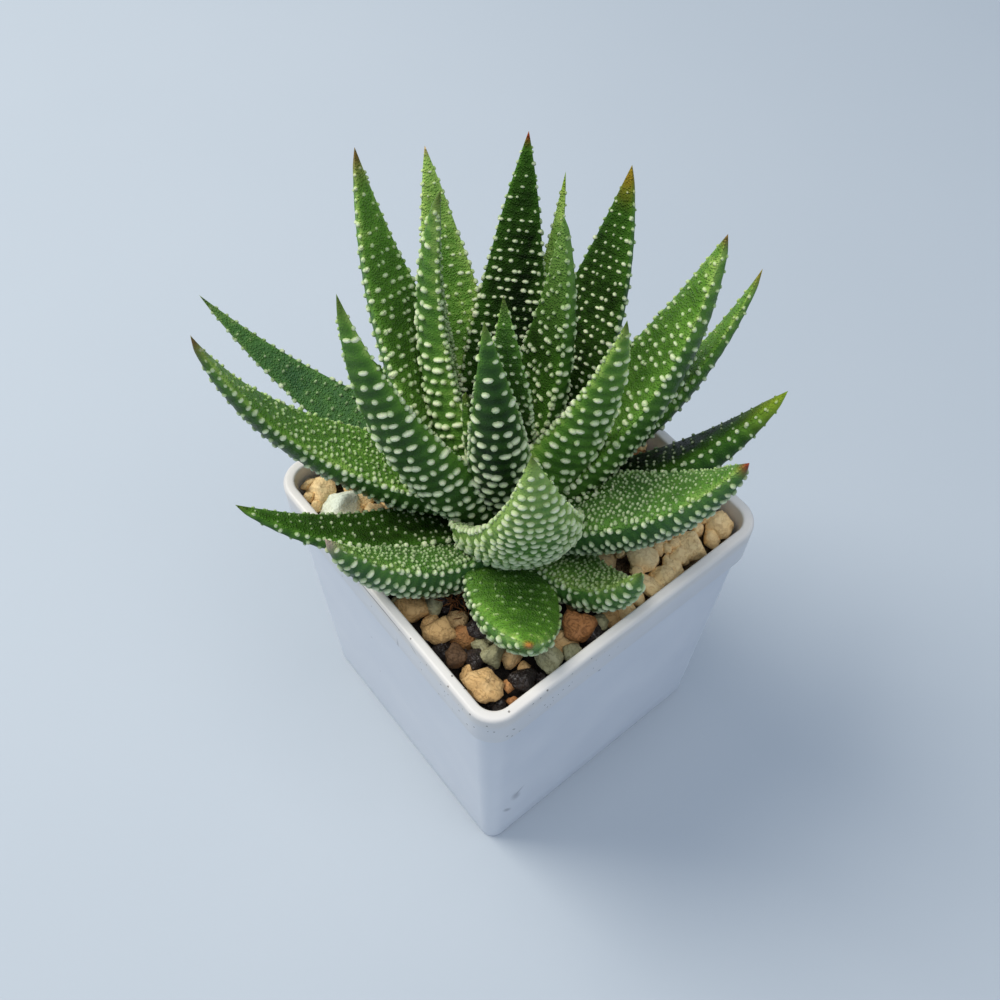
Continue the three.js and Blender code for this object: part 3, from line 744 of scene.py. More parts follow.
def leaf_grid(leaf, inner_kind, back_kind, rows):
    """The skin's points and their t, angle, lift and whiteness, with two poles last."""
    t = np.linspace(0, 1, SKIN_ROWS + 1)[:-1] ** ROW_CROWDING
    t, angle = np.meshgrid(t, 2 * np.pi * np.arange(SKIN_AROUND) / SKIN_AROUND, indexing="ij")
    c = np.sin(angle)
    inner_wave = row_wave(leaf, rows[inner_kind], t) * BUMPS[inner_kind]["swell"]
    back_wave = row_wave(leaf, rows[back_kind], t) * BUMPS[back_kind]["swell"]
    lift = np.where(c > 0, inner_wave, back_wave) * np.abs(c) * np.minimum(1, (1 - t) / SWELL_SPAN)
    skin = on_leaf(leaf, t, angle, lift).reshape(-1, 3)
    ends = np.array([0.0, 1.0])
    point, along, _, _ = middle_line(leaf, ends)
    poles = point + along * np.array([[-FOOT_POINT], [0.0]])
    grid = np.stack([t.ravel(), angle.ravel(), lift.ravel(), np.zeros(t.size)])
    pole_grid = np.stack([ends, np.zeros(2), np.zeros(2), np.zeros(2)])
    return np.concatenate([skin, poles]), np.concatenate([grid, pole_grid], axis=1)


def leaf_domes(leaf, inner_kind, back_kind, rows, random, first):
    """All the domes of a leaf: points, grids and quads and fans that count from first."""
    places, grids, tops, quads, fans = [], [], [], [], []
    faces = (
        (back_kind, np.pi + BACK_EDGE, 2 * np.pi - BACK_EDGE),
        (inner_kind, FACE_EDGE, np.pi - FACE_EDGE),
        ("margin", -MARGIN_EDGE, MARGIN_EDGE),
        ("margin", np.pi - MARGIN_EDGE, np.pi + MARGIN_EDGE),
    )
    for order, (key, start, stop) in enumerate(faces):
        small = order == 1 and inner_kind not in ROUND_KINDS
        plan, dome_faces = pimple_dome if small else round_dome
        found = place_bumps(leaf, BUMPS[key], rows[key], start, stop, random, plan)
        number, size = found.shape[1:]
        grids.append(found.reshape(4, -1))
        places.append(on_leaf(leaf, *grids[-1][:3]))
        tops.append(places[-1].reshape(number, size, 3)[:, -1])
        dome_quads, dome_fans = repeated_faces(dome_faces, size, number, first)
        quads.append(dome_quads)
        fans.append(dome_fans)
        first += number * size
    return places, grids, np.concatenate(tops), quads, fans


print("points of a leaf's skin:", SKIN_ROWS * SKIN_AROUND + 2)

# %% [markdown]
# ## What the material reads from a leaf
# Each point gets how light its green is, how near it lies to a bump, how waxy it
# is and how far the tip's colour has reached. The green is painted lighter along
# the margins and towards the tip, for the light that comes through there, and
# painted darker at the foot, for the shade deep in the rosette.

# %% Values on the skin
PLAIN_SWELL = 0.16
GLOW_REACH, GLOW_SHARE = 1.0, 0.55
MARGIN_LIGHT, TIP_LIGHT, TIP_LIGHT_SPAN = 0.22, 0.27, 22
FOOT_SHADE, FOOT_SHADE_SPAN = 0.14, 0.25
TINT_START, TINT_STRENGTH = 1.25, 0.9
AT_ONCE = 1000


def nearness(points, tops, reach):
    """1 on top of a bump and falling off as exp(-(d / reach)^2) away from it."""
    result = np.zeros(len(points))
    for start in range(0, len(points), AT_ONCE):
        part = points[start:start + AT_ONCE]
        away = ((part[:, None] - tops[None]) ** 2).sum(-1).min(1)
        result[start:start + AT_ONCE] = np.exp(-away / reach**2)
    return result


def leaf_values(leaf, name, look, rows, grid, skin, tops):
    """The attributes of all the points, in the order of the grid's columns."""
    inner_kind, back_kind, face_tone, back_tone, tip_colour, tip_length = look
    t, angle, _, white = grid
    c = np.sin(angle)
    inside = np.clip(c * 4 + 0.3, 0, 1)
    inner_wave = row_wave(leaf, rows[inner_kind], t) * BUMPS[inner_kind]["swell"] / PLAIN_SWELL
    waves = np.where(c > 0, inner_wave, row_wave(leaf, rows[back_kind], t))
    # How near each point lies to a bump, for a painted glow of light beside the bumps.
    glow = np.ones(len(t))
    glow[:len(skin)] = nearness(skin, tops, GLOW_REACH)
    left = (1 - t) * leaf["length"]
    # Painted light along the margins and towards the tip, and painted shade at the foot.
    tone = back_tone + (face_tone - back_tone) * inside + MARGIN_LIGHT * np.abs(np.cos(angle)) ** 4
    tone += TIP_LIGHT * np.clip(1 - left / TIP_LIGHT_SPAN, 0, 1)
    tone -= FOOT_SHADE * np.clip(1 - t / FOOT_SHADE_SPAN, 0, 1)
    face_wax, back_wax = WAX.get(name, THIN_WAX)
    tint = np.empty((len(t), 4))
    tint[:, :3] = paint(*tip_colour)[:3]
    tint[:, 3] = np.clip(TINT_START - left / tip_length, 0, 1) ** 2 * TINT_STRENGTH
    return {
        "white": white,
        "tone": tone,
        # Painted light and shade over the rows: high in a row and beside a bump, low between rows.
        "row_shading": (1 - GLOW_SHARE) * waves + GLOW_SHARE * glow,
        "inside": inside,
        "cool": back_wax + (face_wax - back_wax) * inside,
        "tip_tint": tint,
    }


print("the green is lighter over the last", TIP_LIGHT_SPAN, "mm of a leaf")

# %% [markdown]
# ## Build the leaves
# The skin and the domes of a leaf are joined in one mesh, which takes the place of
# the leaf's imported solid. Each leaf has a seed of its own, so its bumps are unlike
# its neighbours' and come out the same on every run.

# %% Leaves
FIRST_SEED = 100


def build_leaf(name, leaf, look, seed):
    """One leaf: its skin and domes in one mesh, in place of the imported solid."""
    inner_kind, back_kind = look[:2]
    rows = {key: bump_rows(leaf, BUMPS[key]) for key in (inner_kind, back_kind, "margin")}
    skin, skin_grid = leaf_grid(leaf, inner_kind, back_kind, rows)
    random = np.random.default_rng(seed)
    domes = leaf_domes(leaf, inner_kind, back_kind, rows, random, len(skin))
    places, grids, tops, quads, fans = domes
    grid = np.concatenate([skin_grid] + grids, axis=1)
    values = leaf_values(leaf, name, look, rows, grid, skin, tops)
    skin_quads, skin_fans = ring_faces(SKIN_ROWS, SKIN_AROUND)
    face_sets = [np.concatenate([skin_quads] + quads), np.concatenate([skin_fans] + fans)]
    material = shaded_skin if name in SHADED else leaf_skin
    piece = mesh_piece("fine_" + name, np.concatenate([skin] + places), face_sets, material, values)
    return settle(piece, "leaf", name)


leaf_pieces = []
for order, (name, leaf) in enumerate(leaf_rows.items()):
    leaf_pieces.append(build_leaf(name, leaf, LOOKS.get(name, PLAIN_LOOK), FIRST_SEED + order))
print("leaf vertices:", sum(len(piece.data.vertices) for piece in leaf_pieces))

# %% [markdown]
# ## The pot's plastic
# The pot is moulded in white plastic with a soft gloss. Its collar and rim are
# painted a little warmer than its wall: painted light, for the warm light that
# they catch and the wall doesn't. Potting has left specks of soil on the rim and
# the collar, thin dark lines on the rim, and a few rubbed marks. All of it is
# reckoned from the place on the pot, so no picture is needed.

# %% Plastic material
FRONT_CORNER = (0.033, -0.033, 0.078)
SOIL_SPECK, FADED_SPECK = paint(84, 74, 66), paint(120, 112, 110)
# The first two are shares of a painted warm light on the collar and the rim; the other two are strengths
# of the soil specks.
COLLAR_WARM_LIGHT, RIM_WARM_LIGHT, SPECK_STRENGTH, FADED_STRENGTH = 0.45, 0.55, 0.8, 0.5
FEWEST_SPECKS, MORE_SMALL, MORE_LARGE, CROWD_REACH = 0.015, 0.2, 0.07, 0.055
pot_plastic, tree, shader, place = empty_material("white_plastic")
cloud = use_group(tree, mottle, {"Vector": place, "Scale": 60.0, "Low": 0.3, "High": 0.7})["Fac"]
wall_white = blend_colours(tree, cloud, paint(216, 219, 226), paint(225, 227, 232))
# A warmer white for the collar and rim: painted warm light.
warm_lit_white = blend_colours(tree, cloud, paint(216, 211, 206), paint(228, 223, 217))
axes = add_node(tree, "SeparateXYZ", {"Vector": place}).outputs
collar = times(tree, stretch(tree, axes["Z"], 0.0700, 0.0712), COLLAR_WARM_LIGHT)
rim = times(tree, stretch(tree, axes["Z"], 0.0765, 0.0795), RIM_WARM_LIGHT)
plastic = blend_colours(tree, reckon(tree, "ADD", collar, rim), wall_white, warm_lit_white)

high_up = stretch(tree, axes["Z"], 0.066, 0.074)
corner = add_node(tree, "VectorMath", {0: place, 1: FRONT_CORNER}, operation="DISTANCE")
crowd = stretch(tree, corner.outputs["Value"], 0.0, CROWD_REACH, 1, 0)
small_share = reckon(tree, "MULTIPLY_ADD", crowd, MORE_SMALL, FEWEST_SPECKS)
large_share = times(tree, crowd, MORE_LARGE)
small = use_group(tree, specks, {"Vector": place, "Scale": 950.0, "Share": small_share, "Size": 0.2})
large = use_group(tree, specks, {"Vector": place, "Scale": 420.0, "Share": large_share, "Size": 0.12})
few = use_group(tree, specks, {"Vector": place, "Scale": 260.0, "Share": 0.03, "Size": 0.07})
dots = times(tree, reckon(tree, "MAXIMUM", small["Fac"], large["Fac"]), high_up)
plastic = blend_colours(tree, times(tree, dots, SPECK_STRENGTH), plastic, SOIL_SPECK)
plastic = blend_colours(tree, times(tree, few["Fac"], FADED_STRENGTH), plastic, FADED_SPECK)


def rubbed_mark(tree, place, centre, turn, size, softness):
    """1 inside an ellipsoid that cuts the wall: turned, scaled, then a falling distance."""
    inputs = {"Vector": place, "Location": centre, "Rotation": turn, "Scale": size}
    moved = add_node(tree, "Mapping", inputs, vector_type="TEXTURE").outputs[0]
    away = add_node(tree, "VectorMath", {0: moved}, operation="LENGTH").outputs["Value"]
    return stretch(tree, away, 1 - softness, 1.0, 1.0, 0.0)


# Each mark: its centre in metres, its turn in radians, its half widths in metres, how
# much of it fades out, how strong it is and its colour.
MARKS = [
    ((0.0071, -0.0347, 0.0704), (0, 0.03, 0), (0.00045, 0.004, 0.0056), 0.8, 0.5, (112, 110, 122)),
    ((0.0020, -0.0350, 0.0803), (0, 0.004, 0), (0.0120, 0.004, 0.00024), 0.6, 0.7, (98, 90, 84)),
    ((0.0128, -0.0350, 0.0788), (0, 0.7, 0), (0.0016, 0.004, 0.00022), 0.6, 0.65, (98, 90, 84)),
    ((0.0346, -0.0069, 0.0670), (0.5, 0, 0), (0.004, 0.0005, 0.0018), 0.6, 0.8, (86, 84, 96)),
    ((0.0329, -0.0256, 0.0236), (0.2, 0, 0), (0.004, 0.0017, 0.0042), 0.9, 0.42, (96, 96, 104)),
    ((0.0329, -0.0246, 0.0256), (-0.7, 0, 0), (0.004, 0.0007, 0.0026), 0.9, 0.4, (96, 96, 104)),
    ((0.0328, -0.0279, 0.0176), (0.45, 0, 0), (0.004, 0.0009, 0.0034), 0.9, 0.5, (92, 92, 102)),
]
for centre, turn, size, softness, strength, colour in MARKS:
    mark = times(tree, rubbed_mark(tree, place, centre, turn, size, softness), strength)
    plastic = blend_colours(tree, mark, plastic, paint(*colour))
tree.links.new(plastic, shader.inputs["Base Color"])
tree.links.new(stretch(tree, cloud, 0.0, 1.0, 0.34, 0.44), shader.inputs["Roughness"])
ripple = add_node(tree, "TexNoise", {"Vector": place, "Scale": 900.0, "Detail": 3.0})
relief = add_node(tree, "Bump", {"Height": ripple.outputs[0], "Distance": 0.00002, "Strength": 0.5})
tree.links.new(relief.outputs[0], shader.inputs["Normal"])
print("marks on the pot:", len(MARKS))

# %% [markdown]
# ## The pot's profile
# The pot is a profile carried round a rounded square: from the underside up the
# tapering wall, out over the collar's foot, over the round rim and down inside to
# the floor. A cube with bevels would do for the wall, but a profile gives each
# round edge an arc of its own, which catches the light as the moulded one does.

# %% Pot profile
RIM_SIDE, POT_HEIGHT, COLLAR_HEIGHT = 70, 81, 10
BODY_TOP_SIDE, BASE_SIDE, RIM_WIDTH, WALL, FLOOR = 67.6, 64.8, 2.3, 1.6, 2.0
FOOT_ROUND, RIM_ROUND, INNER_ROUND, COLLAR_ROUND = 0.7, 0.9, 0.5, 0.4
MIDDLE_INSET = 20


def arc_steps(inset, z, radius, start, stop, steps):
    """Points (inset, z) on an arc about a centre, by angles in degrees."""
    turn = np.radians(np.linspace(start, stop, steps))
    return [(inset - radius * np.cos(a), z + radius * np.sin(a)) for a in turn]


def straight_steps(start, stop, shares):
    """Points (inset, z) on a straight line, by their shares of the way."""
    return [tuple(start[i] * (1 - k) + stop[i] * k for i in (0, 1)) for k in shares]


def pot_profile():
    """Points (inset, z) in mm: underside, wall, collar, rim, inside wall and floor."""
    base = (RIM_SIDE - BASE_SIDE) / 2
    body = (RIM_SIDE - BODY_TOP_SIDE) / 2
    collar = POT_HEIGHT - COLLAR_HEIGHT
    inner_foot = base + WALL
    inner_edge = POT_HEIGHT - INNER_ROUND
    points = [(MIDDLE_INSET, 0.0), (base + 1.6, 0.0)]
    points += arc_steps(base + FOOT_ROUND, FOOT_ROUND, FOOT_ROUND, -75, 0, 5)
    points += straight_steps((base, FOOT_ROUND), (body, collar - 1.3), np.linspace(0.1, 1, 10))
    points += arc_steps(body - 0.5, collar - 0.9, 0.5, 180, 110, 4)
    points += arc_steps(COLLAR_ROUND, collar + 0.1, COLLAR_ROUND, -70, 0, 4)
    points += [(0.0, collar + 3.0), (0.0, collar + 6.0)]
    points += arc_steps(RIM_ROUND, POT_HEIGHT - RIM_ROUND, RIM_ROUND, 0, 90, 7)
    points += arc_steps(RIM_WIDTH - INNER_ROUND, inner_edge, INNER_ROUND, 90, 180, 5)
    points += straight_steps((RIM_WIDTH, inner_edge), (inner_foot, FLOOR + 1), (0.1, 0.5, 1))
    points += [(inner_foot + 0.5, FLOOR + 0.3), (inner_foot + 1.4, FLOOR), (MIDDLE_INSET, FLOOR)]
    return points


profile = pot_profile()
print("points of the profile:", len(profile))

# %% [markdown]
# ## The pot round its square
# The pot is square with round corners. Each point of the profile becomes a ring:
# a rounded square that is smaller the further in the point lies, with a smaller
# corner radius as well, so that the wall keeps its thickness round the corners.

# %% Pot
CORNER_RADIUS, LEAST_RADIUS = 6, 0.6
CORNER_STEPS, SIDE_STEPS = 12, 10


def rounded_square(inset, z):
    """A ring of points: four quarter circles joined by straight, divided sides."""
    radius = np.maximum(CORNER_RADIUS - inset, LEAST_RADIUS)
    centre = RIM_SIDE / 2 - inset - radius
    turn = np.radians(np.arange(CORNER_STEPS + 1) * 90 / CORNER_STEPS)
    arc = np.stack([centre + radius * np.cos(turn), centre + radius * np.sin(turn)], -1)
    straight = np.linspace(arc[-1], arc[-1] * [-1, 1], SIDE_STEPS + 1)[1:-1]
    quarter = np.concatenate([arc, straight])
    ring = [quarter]
    for _ in range(3):
        quarter = np.stack([-quarter[:, 1], quarter[:, 0]], -1)
        ring.append(quarter)
    ring = np.concatenate(ring)
    return np.concatenate([ring, np.full((len(ring), 1), z)], axis=1)


rings = np.array([rounded_square(inset, z) for inset, z in profile])
poles = np.array([[0, 0, 0.0], [0, 0, FLOOR]])
pot_points = np.concatenate([rings.reshape(-1, 3), poles])
pot = mesh_piece("fine_pot", pot_points, ring_faces(len(rings), rings.shape[1]), pot_plastic)
print("points of the pot:", len(pot_points))

# %% [markdown]
# ## Drain holes
# Four round holes go through the floor, so that water can leave. They are cut with
# a boolean, because a round hole doesn't fit the grid of a floor that is square.

# %% Drain holes
DRAIN_RADIUS, DRAIN_SPREAD, DRILL_STEPS = 2.0, 19, 32
for k, (x, y) in enumerate([(-1, -1), (-1, 1), (1, -1), (1, 1)]):
    turn = 2 * np.pi * np.arange(DRILL_STEPS) / DRILL_STEPS
    drill_ring = np.stack([np.cos(turn), np.sin(turn), np.zeros(DRILL_STEPS)], -1) * DRAIN_RADIUS
    middle = np.array([x * DRAIN_SPREAD, y * DRAIN_SPREAD, 0])
    levels = [middle + [0, 0, -1], middle + [0, 0, FLOOR + 1]]
    drill_points = np.concatenate([drill_ring + levels[0], drill_ring + levels[1], levels])
    drill = mesh_piece(f"drill_{k}", drill_points, ring_faces(2, DRILL_STEPS), pot_plastic)
    cut = pot.modifiers.new("drain", "BOOLEAN")
    cut.object, cut.operation, cut.solver = drill, "DIFFERENCE", "EXACT"
cut_pot = bpy.data.meshes.new_from_object(pot.evaluated_get(bpy.context.evaluated_depsgraph_get()))
pot.modifiers.clear()
pot.data = cut_pot
for k in range(4):
    bpy.data.objects.remove(bpy.data.objects[f"drill_{k}"])
settle(pot, "pot_plastic", "pot")
print("pot faces:", len(pot.data.polygons))

# %% [markdown]
# ## Stones, chips and soil
# The top dressing is crushed stone: tan, cream, orange brown and pale grey green,
# all matte, with chips of dark bark and damp soil between them. One function makes
# the stone materials. Each takes its own pair of tones, drifts between them, and
# adds pits and hairline cracks. Dry scraps of the plant use the same function.

# %% Stone materials
# Each look: its light, dark and deep colours, its roughness and the depth of its pits.
STONE_LOOKS = {
    "tan_stone": ((236, 206, 154), (208, 168, 112), (156, 110, 64), 0.72, 0.0001),
    # The cream stone is a tan stone painted paler: in part its own cream colour and in part painted
    # light, for the bright light on the pale sides.
    "lit_cream_stone": ((255, 238, 190), (250, 216, 158), (212, 162, 106), 0.72, 0.0001),
    "rust_stone": ((216, 164, 104), (162, 108, 60), (96, 58, 32), 0.7, 0.00014),
    "brown_stone": ((140, 106, 68), (92, 66, 42), (50, 36, 24), 0.7, 0.00014),
    "mint_stone": ((214, 210, 178), (162, 158, 120), (106, 100, 72), 0.62, 0.0001),
    # The pale stone is the mint stone painted almost white: in part its own pale green and in part
    # painted light, which lifts it out of the shade it lies in.
    "lit_pale_stone": ((254, 255, 246), (236, 243, 224), (190, 197, 170), 0.62, 0.00006),
    "bark_chip": ((88, 76, 72), (40, 32, 30), (12, 9, 8), 0.36, 0.0003),
    "damp_soil": ((52, 40, 32), (24, 18, 15), (10, 8, 7), 0.8, 0.0003),
    "bed_grit": ((222, 188, 138), (36, 28, 23), (20, 15, 12), 0.8, 0.0003),
    "dry_stock": ((132, 104, 66), (84, 60, 36), (50, 34, 20), 0.8, 0.0001),
    "dry_scrap": ((168, 130, 86), (92, 64, 40), (44, 30, 20), 0.8, 0.0001),
    "bark_fibre": ((206, 140, 64), (120, 72, 34), (60, 36, 20), 0.8, 0.0001),
    "fine_hair": ((226, 224, 210), (196, 192, 176), (150, 146, 130), 0.6, 0.0001),
}
SHADE_SHARE, DRIFT_SHARE, LEAST_LEVEL = 0.6, 0.45, 0.5
CRACK_WIDTH, CRACK_COLOUR, CRACK_DEPTH = 0.035, 0.35, 0.8


def stone_material(name, light, dark, deep, roughness, pit_depth):
    """A matte stone. It runs from light to dark by its shade and by a slow drift."""
    material, tree, shader, place = empty_material(name)
    shade = point_value(tree, "shade").outputs["Fac"]
    drift = use_group(tree, mottle, {"Vector": place, "Scale": 380.0, "Low": 0.3, "High": 0.72})["Fac"]
    level = reckon(tree, "MULTIPLY_ADD", shade, SHADE_SHARE, LEAST_LEVEL)
    level = reckon(tree, "ADD", level, times(tree, drift, DRIFT_SHARE), clamp=True)
    colour = blend_colours(tree, level, paint(*light), paint(*dark))
    vein_inputs = {"Vector": place, "Scale": 520.0, "Detail": 6.0, "Distortion": 1.6}
    veins = add_node(tree, "TexNoise", vein_inputs).outputs[0]
    off_vein = reckon(tree, "ABSOLUTE", reckon(tree, "SUBTRACT", veins, 0.5))
    crack = stretch(tree, off_vein, 0.0, CRACK_WIDTH, 1, 0)
    colour = blend_colours(tree, times(tree, crack, CRACK_COLOUR), colour, paint(*deep))
    tree.links.new(colour, shader.inputs["Base Color"])
    rough = stretch(tree, drift, 0.0, 1.0, roughness, roughness + 0.12)
    tree.links.new(rough, shader.inputs["Roughness"])

    pits = use_group(tree, grain, {"Vector": place, "Scale": 1500.0})
    height = reckon(tree, "SUBTRACT", pits["Height"], times(tree, crack, CRACK_DEPTH))
    relief = add_node(tree, "Bump", {"Height": height, "Distance": pit_depth, "Strength": 0.9})
    tree.links.new(relief.outputs[0], shader.inputs["Normal"])
    return material


stones = {name: stone_material(name, *look) for name, look in STONE_LOOKS.items()}
print("stone materials:", len(stones))

# %% [markdown]
# ## The form of a stone
# Crushed stone has flat faces that have rubbed round where they meet. A sphere is
# cut by a dozen or two planes that lie at random: the reach in any direction is a
# soft minimum over the planes, so corners come out round. Slow waves make it lumpy.

# %% Stone form
STONE_RINGS, STONE_AROUND = 15, 24
# Each kind of stone: its material and a slot name.
TONES = {
    "tan": (stones["tan_stone"], "stone_tan"),
    "cream": (stones["lit_cream_stone"], "stone_tan"),
    "rust": (stones["rust_stone"], "stone_rust"),
    "brown": (stones["brown_stone"], "stone_rust"),
    "mint": (stones["mint_stone"], "stone_mint"),
    "pale": (stones["lit_pale_stone"], "stone_mint"),
    "bark": (stones["bark_chip"], "stone_bark"),
}
# Each form: how many planes cut it, how sharp its corners are and how lumpy it is.
ROUGH_FORM, CHIP_FORM, LUMP_FORM = (15, 26, 0.025), (14, 60, 0.015), (24, 9, 0.05)
NEAREST_PLANE, SOFT_FLOOR, LONGEST_REACH = 0.72, 0.6, 1.4
WAVES, WAVE_RATE = 6, 4.2


def sphere_points(rings, around):
    """Directions on a sphere, ring by ring, and then its two poles."""
    polar = np.pi * (np.arange(rings) + 0.5) / rings
    turn = 2 * np.pi * np.arange(around) / around
    polar, turn = np.meshgrid(np.pi - polar, turn, indexing="ij")
    points = np.stack([np.sin(polar) * np.cos(turn), np.sin(polar) * np.sin(turn), np.cos(polar)], -1)
    return np.concatenate([points.reshape(-1, 3), [[0, 0, -1], [0, 0, 1]]])


def stone_form(directions, random, planes, hardness, lumps):
    """A unit stone: reach = (sum of (d.n / depth)^p)^(-1/p) over random planes.

    Here d is a direction, n a plane's normal and p the hardness. Waves over the
    directions are added, and the form is stretched to fill a box of two units."""
    normals = unit(random.normal(size=(planes, 3)))
    depth = random.uniform(NEAREST_PLANE, 1.0, planes)
    facing = np.maximum(directions @ normals.T, 0) / depth
    reach = (np.sum(facing**hardness, axis=1) + SOFT_FLOOR**hardness) ** (-1 / hardness)
    wave = random.normal(size=(WAVES, 3)) * WAVE_RATE
    shift = random.uniform(0, 2 * np.pi, WAVES)
    reach *= 1 + lumps * np.sin(directions @ wave.T + shift).sum(axis=1)
    form = directions * np.minimum(reach, LONGEST_REACH)[:, None]
    low, high = form.min(0), form.max(0)
    return (form - (low + high) / 2) / (high - low) * 2


def turned(points, random):
    """The points turned by a random rotation."""
    left, _, right = np.linalg.svd(random.normal(size=(3, 3)))
    spin = left @ right
    return points @ (spin * np.sign(np.linalg.det(spin))).T


sphere = sphere_points(STONE_RINGS, STONE_AROUND)
sphere_faces = ring_faces(STONE_RINGS, STONE_AROUND)
print("faces of a stone:", sum(len(faces) for faces in sphere_faces))

# %% [markdown]
# ## The stones that show
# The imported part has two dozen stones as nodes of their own. Each fine stone fills
# the box of its node, so it lies in the same place and has the same size.

# %% Named stones
KINDS = {
    "tan": (1, 2, 3, 21),
    "cream": (11, 12, 13, 14, 15, 16, 17, 20),
    "rust": (8, 19),
    "brown": (4,),
    "mint": (5, 6, 9, 23, 24),
    "pale": (18,),
    "bark": (7, 10, 22),
}
LUMPY_STONE, STONE_SEED, CREAM_SHADE = 1, 300, 0.6
named_stones = []
for kind, numbers in KINDS.items():
    form_of_kind = CHIP_FORM if kind == "bark" else ROUGH_FORM
    # Cream stones keep to the lighter shades: more painted light for the pale sides.
    darkest = CREAM_SHADE if kind == "cream" else 1.0
    material, slot = TONES[kind]
    for number in numbers:
        node = f"stone_{number:02d}"
        low, high = (np.array(corner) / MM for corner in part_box(node))
        middle, half = (low + high) / 2, (high - low) / 2
        random = np.random.default_rng(STONE_SEED + number)
        form = stone_form(sphere, random, *(LUMP_FORM if number == LUMPY_STONE else form_of_kind))
        points = middle + form * half
        shade = np.full(len(points), random.random() * darkest)
        piece = mesh_piece("fine_" + node, points, sphere_faces, material, {"shade": shade})
        named_stones.append((middle, half.max()))
        settle(piece, slot, node)
print("named stones:", len(named_stones))

# %% [markdown]
# ## The bed of the gravel
# Under and between the named stones lies a bed of damp soil and grit. It is a grid
# of rings inside the rim, raised by crossing waves, with a short skirt that hides
# its edge. Cream stones lie thick along two sides, and the grit between them is as
# pale as they are.

# %% Gravel bed
SOIL_TOP, BED_TOP, BED_RINGS = 69, 71.5, 45
WALL_GAP, SKIRT_SHARE, SKIRT_RISE, INNERMOST = 0.45, 0.985, 0.3, 0.06
RIGHT_LINE, LEFT_LINE, GRIT_SPAN, DARK_GRIT = 16.5, -13, 2, 1.6


def soil_height(x, y):
    """Rough ground: a few sines of different lengths that cross one another."""
    rough = np.sin(x * 1.9 + np.sin(y * 1.3) * 2) * np.cos(y * 2.3 + np.sin(x * 0.9) * 2)
    crumbs = np.sin(x * 5.3 + y * 2.1) * np.sin(y * 4.7 - x * 3.1)
    return BED_TOP - 0.3 + 0.35 * rough + 0.2 * crumbs


def pale_grit(x, y):
    """1 well past the lines where the cream stones begin, and 0 before them."""
    past_right = np.minimum(x + y - RIGHT_LINE, y)
    return np.clip(np.maximum(past_right, LEFT_LINE - x) / GRIT_SPAN, 0, 1)


share = np.linspace(INNERMOST, 1, BED_RINGS)
outline = rounded_square(RIM_WIDTH + WALL_GAP, 0.0)[:, :2]
top = share[:, None, None] * outline[None]
top_z = soil_height(top[..., 0], top[..., 1])
top = np.concatenate([top, top_z[..., None]], -1)[::-1]
skirt_z = np.full((len(outline), 1), SOIL_TOP + SKIRT_RISE)
skirt = np.concatenate([outline * SKIRT_SHARE, skirt_z], 1)[None]
bed_rings = np.concatenate([skirt, top])
bed_poles = np.array([[0, 0, SOIL_TOP + SKIRT_RISE], [0, 0, soil_height(0.0, 0.0)]])
bed_points = np.concatenate([bed_rings.reshape(-1, 3), bed_poles])
bed_faces = ring_faces(len(bed_rings), len(outline))
bed_shade = DARK_GRIT * (1 - pale_grit(bed_points[:, 0], bed_points[:, 1]))
bed = mesh_piece("gravel_bed", bed_points, bed_faces, stones["bed_grit"], {"shade": bed_shade})
settle(bed, "gravel", "gravel")
print("bed vertices:", len(bed_points))

# %% [markdown]
# ## Where the pebbles lie
# The gravel is loose, and it dips about the stem. Each pebble could be placed by
# hand, but a seeded rule gives the same heap on every run. It throws pebbles at
# random over the bed, the largest first, and lowers each one that would touch a
# leaf. Kept are those that lie mostly clear of the named stones and of the pebbles
# kept before. On the pale sides they lie higher and closer.

# %% Pebbles by a seeded rule
# The pale sides are where x + y is past RIGHT_START and y past FRONT_LIMIT, and where
# x is under LEFT_START. Clearance and spacing are shares of the pebbles' radii.
THROWN, SMALLEST, RADIUS_SPAN, RADIUS_POWER, PEBBLE_SEED = 1500, 1.15, 1.6, 1.5, 21
RIGHT_START, FRONT_LIMIT, LEFT_START, PALE_RISE = 18, 1, -14, 2.5
PALE_CLEARANCE, CLEARANCE, PALE_SPACING, SPACING = 0.1, 0.3, 0.56, 0.68
EDGE_SHARE, STONE_SHARE = 0.8, 0.8
STONE_LEVEL, STONE_DIP, DIP_RADIUS, LEVEL_SPREAD, SINK_SHARE = 74.6, 3.6, 19, 0.5, 0.25
LOW_LEAVES, REACH_SHARE, LEAF_GAP, LOWERING = 84, 1.05, 0.2, 1.3
NEAR_STEM, LOWEST = 6, BED_TOP - 2.4
random = np.random.default_rng(PEBBLE_SEED)
radius = SMALLEST + RADIUS_SPAN * (1 - np.arange(THROWN) / THROWN) ** RADIUS_POWER
edge = RIM_SIDE / 2 - RIM_WIDTH - WALL_GAP - radius * EDGE_SHARE
x, y = random.uniform(-1, 1, THROWN) * edge, random.uniform(-1, 1, THROWN) * edge
pale_side = ((x + y > RIGHT_START) & (y > FRONT_LIMIT)) | (x < LEFT_START)
away = np.hypot(x - STEM_X, y - STEM_Y)
z = STONE_LEVEL - STONE_DIP * np.exp(-((away / DIP_RADIUS) ** 2))
z += random.uniform(-LEVEL_SPREAD, LEVEL_SPREAD, THROWN)
z += np.where(pale_side, PALE_RISE, 0) - SINK_SHARE * radius

t, angle = np.meshgrid(np.linspace(0, 0.97, 40), np.linspace(0, 2 * np.pi, 25), indexing="ij")
height = np.full(t.shape, 0.3)
leaf_points = [on_leaf(leaf, t, angle, height).reshape(-1, 3) for leaf in leaf_rows.values()]
leaf_points = np.concatenate(leaf_points)
leaf_points = leaf_points[leaf_points[:, 2] < LOW_LEAVES]
for _ in range(3):
    centres = np.stack([x, y, z], -1)
    nearest = np.linalg.norm(centres[:, None] - leaf_points[None], axis=-1).min(1)
    z = z - np.maximum(radius * REACH_SHARE + LEAF_GAP - nearest, 0) * LOWERING
centres = np.stack([x, y, z], -1)

